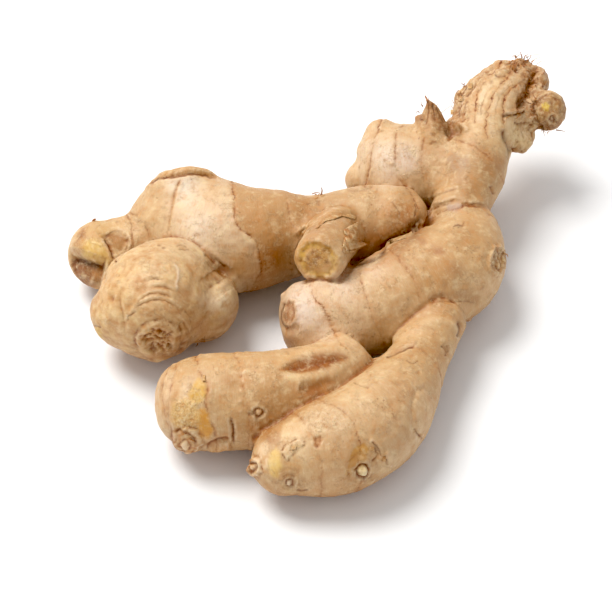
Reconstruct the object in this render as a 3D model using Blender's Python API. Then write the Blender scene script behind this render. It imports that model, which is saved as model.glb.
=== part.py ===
"""Ginger root: one hand of fresh ginger, lying on a flat surface.

The rhizome grew as one piece, so it is one solid. Each finger, lobe and bud is
lofted along its own spine as a fat, round-ended tube; the tubes run into each
other and are fused into a single closed skin, smoothed and thinned.

Frame: +Z up, metres. The origin is the middle of the root's outline, on the
surface it lies on. +X runs along the long arm towards the ringed head's side.
"""
import math

import bmesh
import bpy
from mathutils import Matrix, Vector

# ---- driving dimensions, in millimetres -----------------------------------
MM = 0.001
RING_SIDES = 28        # sides of every lofted section
SECTIONS_PER_SPAN = 5  # sections between two stations of a spine
FUSE_CELL = 1.5        # cell size of the skin that fuses the fingers
SKIN_SMOOTHING = 6     # passes that round the creases where fingers meet
SKIN_KEPT = 0.11      # share of the fused skin's triangles that is kept
PLACE = (-0.03, 0.15, 0.87)   # moves the whole root so its outline is centred

# ---- the layout sheet --------------------------------------------------------
# The fingers are set out on a square sheet that leans back over the root and
# faces a point SHEET_FAR away, SHEET_SLOPE above the surface. A place on it is
# (across, down) in steps from its top left corner. With a height above the
# surface that fixes a point in space, and a width in steps is a width there.
SHEET_MIDDLE = 306             # the sheet's middle, in steps from either edge
SHEET_STEP = 0.35              # one step at the sheet's middle
SHEET_FAR = 750.0
SHEET_SLOPE = math.radians(48.0)
SHEET_HEIGHT = 15.0            # height of the sheet's middle above the surface
SHEET_ORIGIN = (5.0, 10.0)     # the root's own origin, from under the sheet's middle
GRAIN = 0.5                    # stations sit on a grid this fine

# Each finger: its round ends as a share of the end half width, and stations
# along its spine: across, down, height of the middle, half width, and half
# height as a share of half width.
FINGERS = {
    "main_body": ((0.5, 0.55), [
        (463, 200, 23, 28, 1), (462, 219, 21.5, 30, 1), (465, 243, 19.5, 41, 0.98),
        (452, 268, 18.2, 53, 0.92), (412, 290, 17.6, 53, 0.95), (372, 308, 16.7, 47, 1),
        (335, 317, 16.5, 43, 1), (302, 322, 16, 40, 1),
    ]),
    "lower_left_finger": ((0.5, 0.64), [
        (352, 362, 16.5, 31, 1), (322, 382, 16, 41, 1), (290, 394, 16.2, 46, 1),
        (255, 400, 16.5, 49, 1), (222, 402, 16.5, 49, 1), (198, 403, 16.5, 48, 1),
        (181, 404, 16, 42, 1),
    ]),
    "lower_right_finger": ((0.4, 0.98), [
        (440, 316, 18, 29, 1), (430, 338, 17, 29, 1), (417, 362, 16.5, 31, 1),
        (403, 386, 16, 38, 1), (388, 410, 16, 46, 1), (366, 430, 16, 50, 1),
        (340, 444, 15.5, 50, 1), (311, 453, 15, 45, 1), (286, 460, 14.5, 36, 1),
    ]),
    "left_arm": ((0.8, 0.5), [
        (404, 214, 22.5, 29, 1), (390, 217, 22, 33.5, 1), (372, 221, 20.5, 38, 1),
        (345, 228, 19, 39, 1), (310, 234, 18, 39, 1), (275, 236, 18, 47, 1),
        (245, 239, 19, 54, 0.95), (212, 234, 19, 57, 0.95), (180, 226, 19, 49, 1),
        (160, 224, 18.5, 41, 1),
    ]),
    "left_tip": ((0.3, 0.95), [
        (165, 226, 18, 40, 1), (142, 241, 16, 31, 1), (120, 248, 15, 31, 1),
        (102, 255, 14, 36, 1),
    ]),
    "upper_stub": ((0.3, 0.35), [
        (188, 228, 20, 42, 1), (184, 205, 25, 40, 1), (181, 187, 28, 36, 1),
    ]),
    "front_knob": ((0.3, 0.8), [
        (197, 266, 20, 28, 1), (184, 274, 20.5, 42, 1), (169, 286, 20.5, 52, 1),
        (156, 300, 20.5, 59, 0.98), (149, 312, 20.5, 55, 0.99),
    ]),
    "knob_bulge": ((0.6, 0.9), [
        (180, 292, 17, 34, 1), (203, 306, 15, 38, 1),
    ]),
    "knob_side": ((0.5, 0.7), [
        (150, 300, 19, 40, 1), (114, 319, 17, 31, 1),
    ]),
    "finger_bud": ((0.4, 0.9), [
        (196, 425, 14, 24, 1), (186, 437, 11, 15, 1),
    ]),
    "right_finger_bud": ((0.4, 0.7), [
        (262, 466, 13, 14, 1), (253, 469, 13, 8, 1),
    ]),
    "right_finger_lobe": ((0.4, 0.7), [
        (400, 412, 15, 32, 1), (414, 418, 14, 25, 1),
    ]),
    "body_shoulder": ((0.4, 0.6), [
        (470, 262, 17, 34, 1), (482, 266, 17, 29, 1),
    ]),
    "arm_root": ((0.4, 0.6), [
        (393, 219, 23.5, 33, 1), (411, 223, 23.5, 28, 1),
    ]),
    "cut_nub": ((0.3, 0.12), [
        (344, 224, 20, 26, 1), (332, 241, 30, 27, 1), (319, 260, 38, 26, 1),
    ]),
    "upper_lobe": ((0.4, 0.3), [
        (468, 178, 22, 38, 1), (445, 174, 19.5, 44, 1), (420, 172, 18.2, 47, 1),
        (395, 171, 17.8, 47, 1), (378, 170, 17.5, 43, 1), (368, 170, 17.5, 38, 1),
    ]),
    "lobe_lump_top": ((0.4, 0.95), [
        (394, 149, 24, 23, 1), (382, 136, 27, 19, 1),
    ]),
    "lobe_lump_mid": ((0.4, 0.9), [
        (387, 165, 22, 22, 1), (372, 151, 24, 18, 1),
    ]),
    "lobe_lump_low": ((0.4, 0.9), [
        (380, 177, 16, 25, 1), (362, 179, 15, 19.5, 1),
    ]),
    "sprout": ((0.4, 0.9), [
        (434, 140, 33, 18, 1), (433, 124, 37, 13.5, 1), (431, 110, 41, 8, 1),
        (427, 100, 45, 3.2, 1),
    ]),
    "sprout_side": ((0.4, 1.2), [
        (428, 130, 34, 8, 1), (420, 119, 36, 5, 1),
    ]),
    "neck": ((0.3, 0.45), [
        (460, 215, 23, 30, 1), (466, 197, 24.5, 29, 1), (473, 176, 27, 32, 1),
        (478, 154, 30, 32, 1), (484, 133, 32, 33, 1), (492, 112, 34, 36, 1),
        (502, 96, 35, 34, 1), (510, 85, 35, 28, 1),
    ]),
    "head_side_low": ((0.4, 0.9), [
        (468, 118, 34, 14, 1), (458, 126, 33, 10, 1),
    ]),
    "head_side_mid": ((0.4, 0.7), [
        (472, 98, 37, 16, 1), (462, 102, 37, 11, 1),
    ]),
    "head_side_top": ((0.4, 0.7), [
        (492, 88, 38, 18, 1), (482, 84, 39, 13, 1),
    ]),
    "head_top": ((0.4, 0.7), [
        (505, 82, 38, 17, 1), (501, 71, 40, 10.5, 1),
    ]),
    "head_top_lobe": ((0.5, 0.9), [
        (520, 94, 36, 20, 1), (532, 82, 37, 17, 1),
    ]),
    "head_crown": ((0.5, 0.7), [
        (515, 85, 38, 18, 1), (522, 72, 39, 12, 1),
    ]),
    "head_knob": ((0.4, 0.85), [
        (528, 112, 35, 13, 1), (543, 111, 36, 20, 1.05), (549, 111, 36, 20, 1.05),
    ]),
    "head_lower_bump": ((0.4, 0.85), [
        (505, 127, 32, 18, 1), (516, 136, 29, 16, 1), (522, 140, 28, 13, 1),
    ]),
}

ROUND_END = (0.35, 0.65, 0.85, 0.96, 1.0)   # how a round end closes


def placed(across, down, height, half, share):
    """A station in millimetres: x, y, z of its middle, half width, half height."""
    s, c = math.sin(SHEET_SLOPE), math.cos(SHEET_SLOPE)
    z = height - SHEET_HEIGHT
    k = (SHEET_MIDDLE - down) * SHEET_STEP / SHEET_FAR
    y = (z * c + k * z * s - k * SHEET_FAR) / (k * c - s)
    far = SHEET_FAR + y * c - z * s
    step = SHEET_STEP * far / SHEET_FAR
    x = (across - SHEET_MIDDLE) * step
    return tuple(round(v / GRAIN) * GRAIN for v in
                 (x - SHEET_ORIGIN[0], y - SHEET_ORIGIN[1], height, half * step, half * step * share))



def through(stations, steps):
    """Stations joined by a smooth curve, every station on it."""
    pts = [Vector(s) for s in stations]
    pts = [2 * pts[0] - pts[1]] + pts + [2 * pts[-1] - pts[-2]]
    out = []
    for i in range(1, len(pts) - 2):
        a, b, c, d = pts[i - 1:i + 3]
        for k in range(steps):
            t = k / steps
            out.append(0.5 * (2 * b + (c - a) * t + (2 * a - 5 * b + 4 * c - d) * t ** 2
                              + (3 * b - a - 3 * c + d) * t ** 3))
    out.append(pts[-2].copy())
    return out


def sections(stations, ends):
    """Middle, half width and half height of every section, ends included."""
    row = through(stations, SECTIONS_PER_SPAN)

    def closing(last, before, share):
        mid = last.xyz if hasattr(last, "xyz") else Vector(last[:3])
        way = (mid - Vector(before[:3])).normalized()
        reach = last[3] * share
        out = []
        for f in ROUND_END:
            s = max(math.sqrt(max(0.0, 1 - f * f)), 0.03)
            p = mid + way * reach * f
            out.append((p.x, p.y, p.z, last[3] * s, last[4] * s))
        return out

    row = [tuple(r) for r in row]
    first = closing(row[0], row[1], ends[0])[::-1]
    last = closing(row[-1], row[-2], ends[1])
    return first + row + last


def loft(bm, rows):
    """A closed tube through the sections, skinned ring by ring."""
    mids = [Vector(r[:3]) for r in rows]
    rings = []
    for i, r in enumerate(rows):
        t = (mids[min(i + 1, len(rows) - 1)] - mids[max(i - 1, 0)]).normalized()
        side = t.cross(Vector((0, 0, 1)))
        if side.length < 0.1:
            side = t.cross(Vector((0, 1, 0)))
        side.normalize()
        up = side.cross(t)
        frame = Matrix((side * r[3], up * r[4], t)).transposed().to_4x4()
        frame.translation = mids[i]
        made = bmesh.ops.create_circle(bm, cap_ends=False, segments=RING_SIDES,
                                       radius=1.0, matrix=frame)
        rings.append(made["verts"])
    for low, high in zip(rings, rings[1:]):
        n = len(low)
        for k in range(n):
            bm.faces.new((low[k], low[(k + 1) % n], high[(k + 1) % n], high[k]))
    bm.faces.new(rings[0][::-1])
    bm.faces.new(rings[-1])


# ---- start from an empty file ----------------------------------------------
for obj in list(bpy.data.objects):
    bpy.data.objects.remove(obj, do_unlink=True)

# ---- the root ---------------------------------------------------------------
bm = bmesh.new()
for ends, stations in FINGERS.values():
    loft(bm, sections([placed(*s) for s in stations], ends))
bmesh.ops.recalc_face_normals(bm, faces=bm.faces[:])
bmesh.ops.scale(bm, verts=bm.verts[:], vec=(MM, MM, MM))
mesh = bpy.data.meshes.new("ginger_root")
bm.to_mesh(mesh)
bm.free()

root = bpy.data.objects.new("ginger_root", mesh)
bpy.context.scene.collection.objects.link(root)
root.location = Vector(PLACE) * MM

fuse = root.modifiers.new("fuse", "REMESH")
fuse.mode = "VOXEL"
fuse.voxel_size = FUSE_CELL * MM
fuse.adaptivity = 0.0
fuse.use_smooth_shade = True

soften = root.modifiers.new("soften", "SMOOTH")
soften.factor = 0.5
soften.iterations = SKIN_SMOOTHING

thin = root.modifiers.new("thin", "DECIMATE")
thin.decimate_type = "COLLAPSE"
thin.ratio = SKIN_KEPT

# ---- skin of fresh ginger: matt, warm tan ------------------------------------
skin = bpy.data.materials.new("ginger_skin")
skin.use_nodes = True
shader = skin.node_tree.nodes["Principled BSDF"]
shader.inputs["Base Color"].default_value = (0.60, 0.40, 0.20, 1.0)
shader.inputs["Roughness"].default_value = 0.62
shader.inputs["Metallic"].default_value = 0.0
mesh.materials.append(skin)
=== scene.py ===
"""Looks of the ginger root: the finely modelled skin, its material, floor, light and camera.

Everything is worked out in millimetres in the part's own frame and turned into
metres when a mesh is made. Places on the visible side are given as (u, v): where
they lie in the 612 x 612 view of the camera below, dropped onto the root's surface.
"""
import math

import bmesh
import bpy
import numpy as np
from mathutils import Matrix, Vector
from mathutils.bvhtree import BVHTree


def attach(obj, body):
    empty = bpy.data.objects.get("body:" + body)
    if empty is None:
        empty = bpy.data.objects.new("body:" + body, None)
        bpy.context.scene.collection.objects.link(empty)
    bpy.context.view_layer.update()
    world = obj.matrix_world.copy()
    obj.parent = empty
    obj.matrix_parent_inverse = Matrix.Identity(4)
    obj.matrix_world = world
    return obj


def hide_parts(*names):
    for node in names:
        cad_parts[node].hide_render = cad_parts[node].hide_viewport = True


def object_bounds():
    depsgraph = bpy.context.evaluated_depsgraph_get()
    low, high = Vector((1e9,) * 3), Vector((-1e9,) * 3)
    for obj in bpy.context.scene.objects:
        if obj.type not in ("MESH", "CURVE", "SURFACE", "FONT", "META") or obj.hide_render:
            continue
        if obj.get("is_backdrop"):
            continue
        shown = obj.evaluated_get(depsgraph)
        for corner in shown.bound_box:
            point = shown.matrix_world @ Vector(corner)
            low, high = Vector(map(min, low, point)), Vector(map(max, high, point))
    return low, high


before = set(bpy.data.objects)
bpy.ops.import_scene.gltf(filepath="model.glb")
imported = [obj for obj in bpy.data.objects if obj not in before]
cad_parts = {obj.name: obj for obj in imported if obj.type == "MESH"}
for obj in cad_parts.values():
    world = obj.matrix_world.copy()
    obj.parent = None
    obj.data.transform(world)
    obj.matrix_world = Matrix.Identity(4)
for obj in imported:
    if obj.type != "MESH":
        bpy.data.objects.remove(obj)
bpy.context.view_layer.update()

MM = 0.001
PLACE = np.array((-0.03, 0.15, 0.87))     # the same placing as the CAD solid
scene = bpy.context.scene

# =============================================================================
# camera
# =============================================================================
VIEW_DOWN = math.radians(48.0)
VIEW_FAR = 750.0
VIEW_AIM = np.array((-5.0, -10.0, 15.0)) + PLACE
PX_PER_RAD = VIEW_FAR / 0.35
S48, C48 = math.sin(VIEW_DOWN), math.cos(VIEW_DOWN)
EYE = VIEW_AIM - VIEW_FAR * np.array((0.0, C48, -S48))

cam_data = bpy.data.cameras.new("camera")
cam_data.sensor_width = 36.0
cam_data.lens = PX_PER_RAD / 612 * 36.0
cam_data.clip_start, cam_data.clip_end = 0.05, 20.0
cam = bpy.data.objects.new("camera", cam_data)
scene.collection.objects.link(cam)
cam.location = Vector(EYE) * MM
cam.rotation_euler = (math.pi / 2 - VIEW_DOWN, 0, 0)
scene.camera = cam


def to_view(P):
    """(u, v, depth in mm) of points in mm."""
    q = P - VIEW_AIM
    d = VIEW_FAR + q[:, 1] * C48 - q[:, 2] * S48
    return (306 + PX_PER_RAD * q[:, 0] / d,
            306 - PX_PER_RAD * (q[:, 1] * S48 + q[:, 2] * C48) / d, d)


def view_ray(u, v):
    a, b = (u - 306) / PX_PER_RAD, (306 - v) / PX_PER_RAD
    d = np.array((a, C48 + b * S48, -S48 + b * C48))
    return d / np.linalg.norm(d)


# =============================================================================
# the fingers, as in the CAD: round ends as a share of the end half width, and
# stations of u, v, height, half width, half height as a share of half width
# =============================================================================
STATIONS = {
    "main_body": ((0.5, 0.55), [
        (463, 200, 23, 28, 1), (462, 219, 21.5, 30, 1), (465, 243, 19.5, 41, 0.98),
        (452, 268, 18.2, 53, 0.92), (412, 290, 17.6, 53, 0.95), (372, 308, 16.7, 47, 1),
        (335, 317, 16.5, 43, 1), (302, 322, 16, 40, 1),
    ]),
    "lower_left_finger": ((0.5, 0.64), [
        (352, 362, 16.5, 31, 1), (322, 382, 16, 41, 1), (290, 394, 16.2, 46, 1),
        (255, 400, 16.5, 49, 1), (222, 402, 16.5, 49, 1), (198, 403, 16.5, 48, 1),
        (181, 404, 16, 42, 1),
    ]),
    "lower_right_finger": ((0.4, 0.98), [
        (440, 316, 18, 29, 1), (430, 338, 17, 29, 1), (417, 362, 16.5, 31, 1),
        (403, 386, 16, 38, 1), (388, 410, 16, 46, 1), (366, 430, 16, 50, 1),
        (340, 444, 15.5, 50, 1), (311, 453, 15, 45, 1), (286, 460, 14.5, 36, 1),
    ]),
    "left_arm": ((0.8, 0.5), [
        (404, 214, 22.5, 29, 1), (390, 217, 22, 33.5, 1), (372, 221, 20.5, 38, 1),
        (345, 228, 19, 39, 1), (310, 234, 18, 39, 1), (275, 236, 18, 47, 1),
        (245, 239, 19, 54, 0.95), (212, 234, 19, 57, 0.95), (180, 226, 19, 49, 1),
        (160, 224, 18.5, 41, 1),
    ]),
    "left_tip": ((0.3, 0.95), [
        (165, 226, 18, 40, 1), (142, 241, 16, 31, 1), (120, 248, 15, 31, 1),
        (102, 255, 14, 36, 1),
    ]),
    "upper_stub": ((0.3, 0.35), [
        (188, 228, 20, 42, 1), (184, 205, 25, 40, 1), (181, 187, 28, 36, 1),
    ]),
    "front_knob": ((0.3, 0.8), [
        (197, 266, 20, 28, 1), (184, 274, 20.5, 42, 1), (169, 286, 20.5, 52, 1),
        (156, 300, 20.5, 59, 0.98), (149, 312, 20.5, 55, 0.99),
    ]),
    "knob_bulge": ((0.6, 0.9), [
        (180, 292, 17, 34, 1), (203, 306, 15, 38, 1),
    ]),
    "knob_side": ((0.5, 0.7), [
        (150, 300, 19, 40, 1), (114, 319, 17, 31, 1),
    ]),
    "finger_bud": ((0.4, 0.9), [
        (196, 425, 14, 24, 1), (186, 437, 11, 15, 1),
    ]),
    "right_finger_bud": ((0.4, 0.7), [
        (262, 466, 13, 14, 1), (253, 469, 13, 8, 1),
    ]),
    "right_finger_lobe": ((0.4, 0.7), [
        (400, 412, 15, 32, 1), (414, 418, 14, 25, 1),
    ]),
    "body_shoulder": ((0.4, 0.6), [
        (470, 262, 17, 34, 1), (482, 266, 17, 29, 1),
    ]),
    "arm_root": ((0.4, 0.6), [
        (393, 219, 23.5, 33, 1), (411, 223, 23.5, 28, 1),
    ]),
    "cut_nub": ((0.3, 0.12), [
        (344, 224, 20, 26, 1), (332, 241, 30, 27, 1), (319, 260, 38, 26, 1),
    ]),
    "upper_lobe": ((0.4, 0.3), [
        (468, 178, 22, 38, 1), (445, 174, 19.5, 44, 1), (420, 172, 18.2, 47, 1),
        (395, 171, 17.8, 47, 1), (378, 170, 17.5, 43, 1), (368, 170, 17.5, 38, 1),
    ]),
    "lobe_lump_top": ((0.4, 0.95), [
        (394, 149, 24, 23, 1), (382, 136, 27, 19, 1),
    ]),
    "lobe_lump_mid": ((0.4, 0.9), [
        (387, 165, 22, 22, 1), (372, 151, 24, 18, 1),
    ]),
    "lobe_lump_low": ((0.4, 0.9), [
        (380, 177, 16, 25, 1), (362, 179, 15, 19.5, 1),
    ]),
    "sprout": ((0.4, 0.9), [
        (434, 140, 33, 18, 1), (433, 124, 37, 13.5, 1), (431, 110, 41, 8, 1),
        (427, 100, 45, 3.2, 1),
    ]),
    "sprout_side": ((0.4, 1.2), [
        (428, 130, 34, 8, 1), (420, 119, 36, 5, 1),
    ]),
    "neck": ((0.3, 0.45), [
        (460, 215, 23, 30, 1), (466, 197, 24.5, 29, 1), (473, 176, 27, 32, 1),
        (478, 154, 30, 32, 1), (484, 133, 32, 33, 1), (492, 112, 34, 36, 1),
        (502, 96, 35, 34, 1), (510, 85, 35, 28, 1),
    ]),
    "head_side_low": ((0.4, 0.9), [
        (468, 118, 34, 14, 1), (458, 126, 33, 10, 1),
    ]),
    "head_side_mid": ((0.4, 0.7), [
        (472, 98, 37, 16, 1), (462, 102, 37, 11, 1),
    ]),
    "head_side_top": ((0.4, 0.7), [
        (492, 88, 38, 18, 1), (482, 84, 39, 13, 1),
    ]),
    "head_top": ((0.4, 0.7), [
        (505, 82, 38, 17, 1), (501, 71, 40, 10.5, 1),
    ]),
    "head_top_lobe": ((0.5, 0.9), [
        (520, 94, 36, 20, 1), (532, 82, 37, 17, 1),
    ]),
    "head_crown": ((0.5, 0.7), [
        (515, 85, 38, 18, 1), (522, 72, 39, 12, 1),
    ]),
    "head_knob": ((0.4, 0.85), [
        (528, 112, 35, 13, 1), (543, 111, 36, 20, 1.05), (549, 111, 36, 20, 1.05),
    ]),
    "head_lower_bump": ((0.4, 0.85), [
        (505, 127, 32, 18, 1), (516, 136, 29, 16, 1), (522, 140, 28, 13, 1),
    ]),
}

# small swellings that only the fine skin has
SWELLINGS = {
    "knob_shoulder": ((0.4, 0.6), [
        (186, 256, 22, 24, 1), (206, 258, 23, 18, 1), (221, 264, 23, 9.5, 1),
    ]),
    "knob_corner": ((0.4, 0.7), [
        (196, 296, 17, 28, 1), (220, 296, 16.5, 20, 1),
    ]),
    "knob_corner_low": ((0.4, 0.8), [
        (196, 314, 13, 24, 1), (222, 313, 12, 14, 1),
    ]),
    "stub_left": ((0.4, 0.7), [
        (177, 191, 27, 18, 1), (165, 182, 29, 13.5, 1),
    ]),
    "stub_cap": ((0.3, 0.3), [
        (188, 205, 25, 38, 1), (184, 184, 28, 35, 1),
    ]),
    "head_top_left": ((0.4, 0.8), [
        (506, 78, 38, 15, 1), (501, 68, 40.5, 10.5, 1),
    ]),
    "head_low_round": ((0.4, 0.8), [
        (512, 128, 31, 17, 1), (520, 138, 28, 16, 1),
    ]),
    "sprout_low": ((0.4, 0.9), [
        (436, 134, 33, 13, 1), (442, 128, 34, 7, 1),
    ]),
    "head_crown_top": ((0.4, 0.8), [
        (517, 80, 38, 14, 1), (521, 66, 41, 9.5, 1),
    ]),
}


def placed(u, v, height, half, share):
    """A station in millimetres: x, y, z of its middle, half width, half height."""
    z = height - 15.0
    k = (306 - v) / PX_PER_RAD
    y = (z * C48 + k * z * S48 - k * VIEW_FAR) / (k * C48 - S48)
    far = VIEW_FAR + y * C48 - z * S48
    step = far / PX_PER_RAD
    return tuple(round(w * 2) / 2 for w in
                 ((u - 306) * step - 5.0, y - 10.0, height, half * step, half * step * share))


FINGERS = {name: {"ends": ends, "stations": [placed(*s) for s in stations]}
           for name, (ends, stations) in {**STATIONS, **SWELLINGS}.items()}

ROUND_END = (0.35, 0.65, 0.85, 0.96, 1.0)


def through(stations, steps):
    pts = [np.array(s, float) for s in stations]
    pts = [2 * pts[0] - pts[1]] + pts + [2 * pts[-1] - pts[-2]]
    out = []
    for i in range(1, len(pts) - 2):
        a, b, c, d = pts[i - 1:i + 3]
        for k in range(steps):
            t = k / steps
            out.append(0.5 * (2 * b + (c - a) * t + (2 * a - 5 * b + 4 * c - d) * t ** 2
                              + (3 * b - a - 3 * c + d) * t ** 3))
    out.append(pts[-2].copy())
    return np.array(out)


def sections(stations, ends, steps=5):
    row = through(stations, steps)

    def closing(last, before, share):
        way = last[:3] - before[:3]
        way = way / np.linalg.norm(way)
        out = []
        for f in ROUND_END:
            s = max(math.sqrt(max(0.0, 1 - f * f)), 0.03)
            out.append(np.array((*(last[:3] + way * last[3] * share * f), last[3] * s, last[4] * s)))
        return out

    return np.array(closing(row[0], row[1], ends[0])[::-1] + list(row)
                    + closing(row[-1], row[-2], ends[1]))


def frames(mids):
    t = np.gradient(mids, axis=0)
    t /= np.linalg.norm(t, axis=1)[:, None]
    side = np.cross(t, (0.0, 0.0, 1.0))
    low = np.linalg.norm(side, axis=1) < 0.1
    side[low] = np.cross(t[low], (0.0, 1.0, 0.0))
    side /= np.linalg.norm(side, axis=1)[:, None]
    return t, side, np.cross(side, t)


def loft(rows, sides=36):
    mids = rows[:, :3]
    t, side, up = frames(mids)
    th = np.linspace(0, 2 * math.pi, sides, endpoint=False)
    ring = (mids[:, None] + np.cos(th)[None, :, None] * side[:, None] * rows[:, 3, None, None]
            + np.sin(th)[None, :, None] * up[:, None] * rows[:, 4, None, None])
    n, m = ring.shape[:2]
    V = ring.reshape(-1, 3)
    F = []
    for i in range(n - 1):
        for k in range(m):
            a, b = i * m + k, i * m + (k + 1) % m
            F.append((a, b, b + m, a + m))
    F.append(tuple(range(m))[::-1])
    F.append(tuple((n - 1) * m + k for k in range(m)))
    return V, F


def mesh_from(name, V, F):
    me = bpy.data.meshes.new(name)
    me.from_pydata([tuple(p) for p in V], [], [tuple(f) for f in F])
    me.update()
    return me


def fused(finger_rows, cell):
    """One skin round all the lofts, as arrays of points and quads."""
    V, F, base = [], [], 0
    for rows in finger_rows:
        v, f = loft(rows)
        V.append(v)
        F += [tuple(i + base for i in q) for q in f]
        base += len(v)
    me = mesh_from("tmp", np.vstack(V) * MM, F)
    ob = bpy.data.objects.new("tmp", me)
    scene.collection.objects.link(ob)
    m = ob.modifiers.new("fuse", "REMESH")
    m.mode = "VOXEL"
    m.voxel_size = cell * MM
    m.adaptivity = 0.0
    dg = bpy.context.evaluated_depsgraph_get()
    got = bpy.data.meshes.new_from_object(ob.evaluated_get(dg))
    bpy.data.objects.remove(ob)
    n = len(got.vertices)
    co = np.empty(n * 3, np.float32)
    got.vertices.foreach_get("co", co)
    loops = np.empty(len(got.loops), np.int32)
    got.loops.foreach_get("vertex_index", loops)
    starts = np.empty(len(got.polygons), np.int32)
    got.polygons.foreach_get("loop_start", starts)
    tot = np.empty(len(got.polygons), np.int32)
    got.polygons.foreach_get("loop_total", tot)
    assert (tot == 4).all()
    quads = loops.reshape(-1, 4)
    bpy.data.meshes.remove(got)
    return co.reshape(-1, 3).astype(float) / MM, quads


# Where fingers grow out of each other and flow together: centre, reach, how much.
FILLETS = [
    ((52, 47, 28), 20, 0.8), ((50, 58, 22), 16, 0.8),        # neck and upper lobe
    ((54, 30, 10), 14, 0.4),                                # neck and body, below
    ((41, -12, 22), 14, 0.7), ((44, -14, 8), 14, 0.8),       # right finger and body
    ((14, -28, 18), 17, 0.7),                               # left finger and body
    ((-48, 32, 26), 18, 0.5), ((-60, 24, 18), 14, 0.6),      # stub, tip and arm
    ((-28, 10, 18), 13, 0.6), ((-44, 4, 4), 20, 0.9),        # front knob and arm
    ((3, 14, 18), 12, 0.3),                                 # cut nub and arm
    ((-50, -12, 18), 20, 0.35),                             # front knob's side bulges
    ((24, 58, 22), 16, 0.12),                               # lumps on the upper lobe
    ((60, 76, 36), 14, 0.15), ((74, 82, 36), 14, 0.15),      # lumps on the head
    ((32, -64, 14), 18, 0.9), ((48, 4, 17), 22, 0.8),        # side swellings
]

CELL = 1.05
V, Q = fused([sections(f["stations"], f["ends"]) for f in FINGERS.values()], CELL)
V += PLACE


def volume(V, Q):
    a, b, c, d = (V[Q[:, i]] for i in range(4))
    return (np.einsum("ij,ij->i", a, np.cross(b, c)) + np.einsum("ij,ij->i", a, np.cross(c, d))).sum() / 6


if volume(V, Q) < 0:      # faces point out
    Q = Q[:, ::-1].copy()


class Net:
    """A quad net: its edges, and means over neighbours."""

    def __init__(self, n, Q):
        self.n, self.Q = n, Q
        e = np.vstack([Q[:, [0, 1]], Q[:, [1, 2]], Q[:, [2, 3]], Q[:, [3, 0]]])
        e = np.unique(np.sort(e, 1), axis=0)
        self.i, self.j = e[:, 0], e[:, 1]
        self.deg = np.maximum(np.bincount(self.i, minlength=n) + np.bincount(self.j, minlength=n), 1)

    def around(self, X):
        X = np.asarray(X, float)
        if X.ndim == 1:
            return (np.bincount(self.i, X[self.j], self.n) + np.bincount(self.j, X[self.i], self.n)) / self.deg
        return np.stack([self.around(X[:, k]) for k in range(X.shape[1])], 1)

    def smooth(self, X, n, w=0.5):
        for _ in range(n):
            X = X + (w if np.isscalar(w) else (w[:, None] if X.ndim == 2 else w)) * (self.around(X) - X)
        return X

    def normals(self, V):
        Q = self.Q
        a, b, c, d = (V[Q[:, i]] for i in range(4))
        n = np.cross(c - a, d - b)
        out = np.zeros_like(V)
        for i in range(4):
            for k in range(3):
                out[:, k] += np.bincount(Q[:, i], n[:, k], self.n)
        return out / np.maximum(np.linalg.norm(out, axis=1), 1e-12)[:, None]


def bump(x, lo, hi):
    t = np.clip((x - lo) / (hi - lo), 0, 1)
    return t * t * (3 - 2 * t)


# ---- how far each point is from each finger, and where along and round it ------
SPINES = {}
for name, f in FINGERS.items():
    row = sections(f["stations"], f["ends"], 8)
    row[:, :3] += PLACE
    t, side, up = frames(row[:, :3])
    run = np.concatenate([[0.0], np.cumsum(np.linalg.norm(np.diff(row[:, :3], axis=0), axis=1))])
    SPINES[name] = dict(c=row[:, :3], a=row[:, 3], b=row[:, 4], t=t, side=side, up=up, run=run)


def along(P, name):
    """Along-spine distance, angle, gap to the finger's skin and straightened x, y."""
    s = SPINES[name]
    d2 = ((P ** 2).sum(1)[:, None] - 2 * P @ s["c"].T + (s["c"] ** 2).sum(1)[None])
    pen = (s["a"] / max(s["a"])) ** 2
    j = np.argmin(d2 + 0.0 * pen[None], 1)
    q = P - s["c"][j]
    ds = (q * s["t"][j]).sum(1)
    x, y = (q * s["side"][j]).sum(1), (q * s["up"][j]).sum(1)
    th = np.arctan2(y / s["b"][j], x / s["a"][j])
    r = np.sqrt(x * x + y * y)
    skin_r = 1 / np.sqrt((np.cos(np.arctan2(y, x)) / s["a"][j]) ** 2 + (np.sin(np.arctan2(y, x)) / s["b"][j]) ** 2)
    end = np.where((j == 0) | (j == len(s["c"]) - 1), np.abs(ds), 0.0)
    gap = np.where(end > 0.3, np.sqrt(np.maximum(r - skin_r, 0) ** 2 + end ** 2), r - skin_r)
    return s["run"][j] + ds, th, gap, x, y


# ---- fillets: fingers that grow out of each other flow together ------------------
net = Net(len(V), Q)
V = net.smooth(V, 3)
names = list(FINGERS)
gaps = np.stack([along(V, n)[2] for n in names], 1)


def near(P, centre, radius):
    return 1 - bump(np.linalg.norm(P - (np.array(centre) + PLACE), axis=1), radius * 0.5, radius)


FILLET = 0.0 * V[:, 0] + 0.02
for centre, radius, much in FILLETS:
    FILLET = np.maximum(FILLET, much * near(V, centre, radius))
for k in range(110):
    if k % 6 == 0:
        nrm = net.normals(V)
    d = net.around(V) - V
    h = (d * nrm).sum(1)
    fill = np.maximum(h, 0) * FILLET
    V = V + nrm * fill[:, None] + 0.25 * (d - nrm * h[:, None])
V = net.smooth(V, 3)

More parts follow.
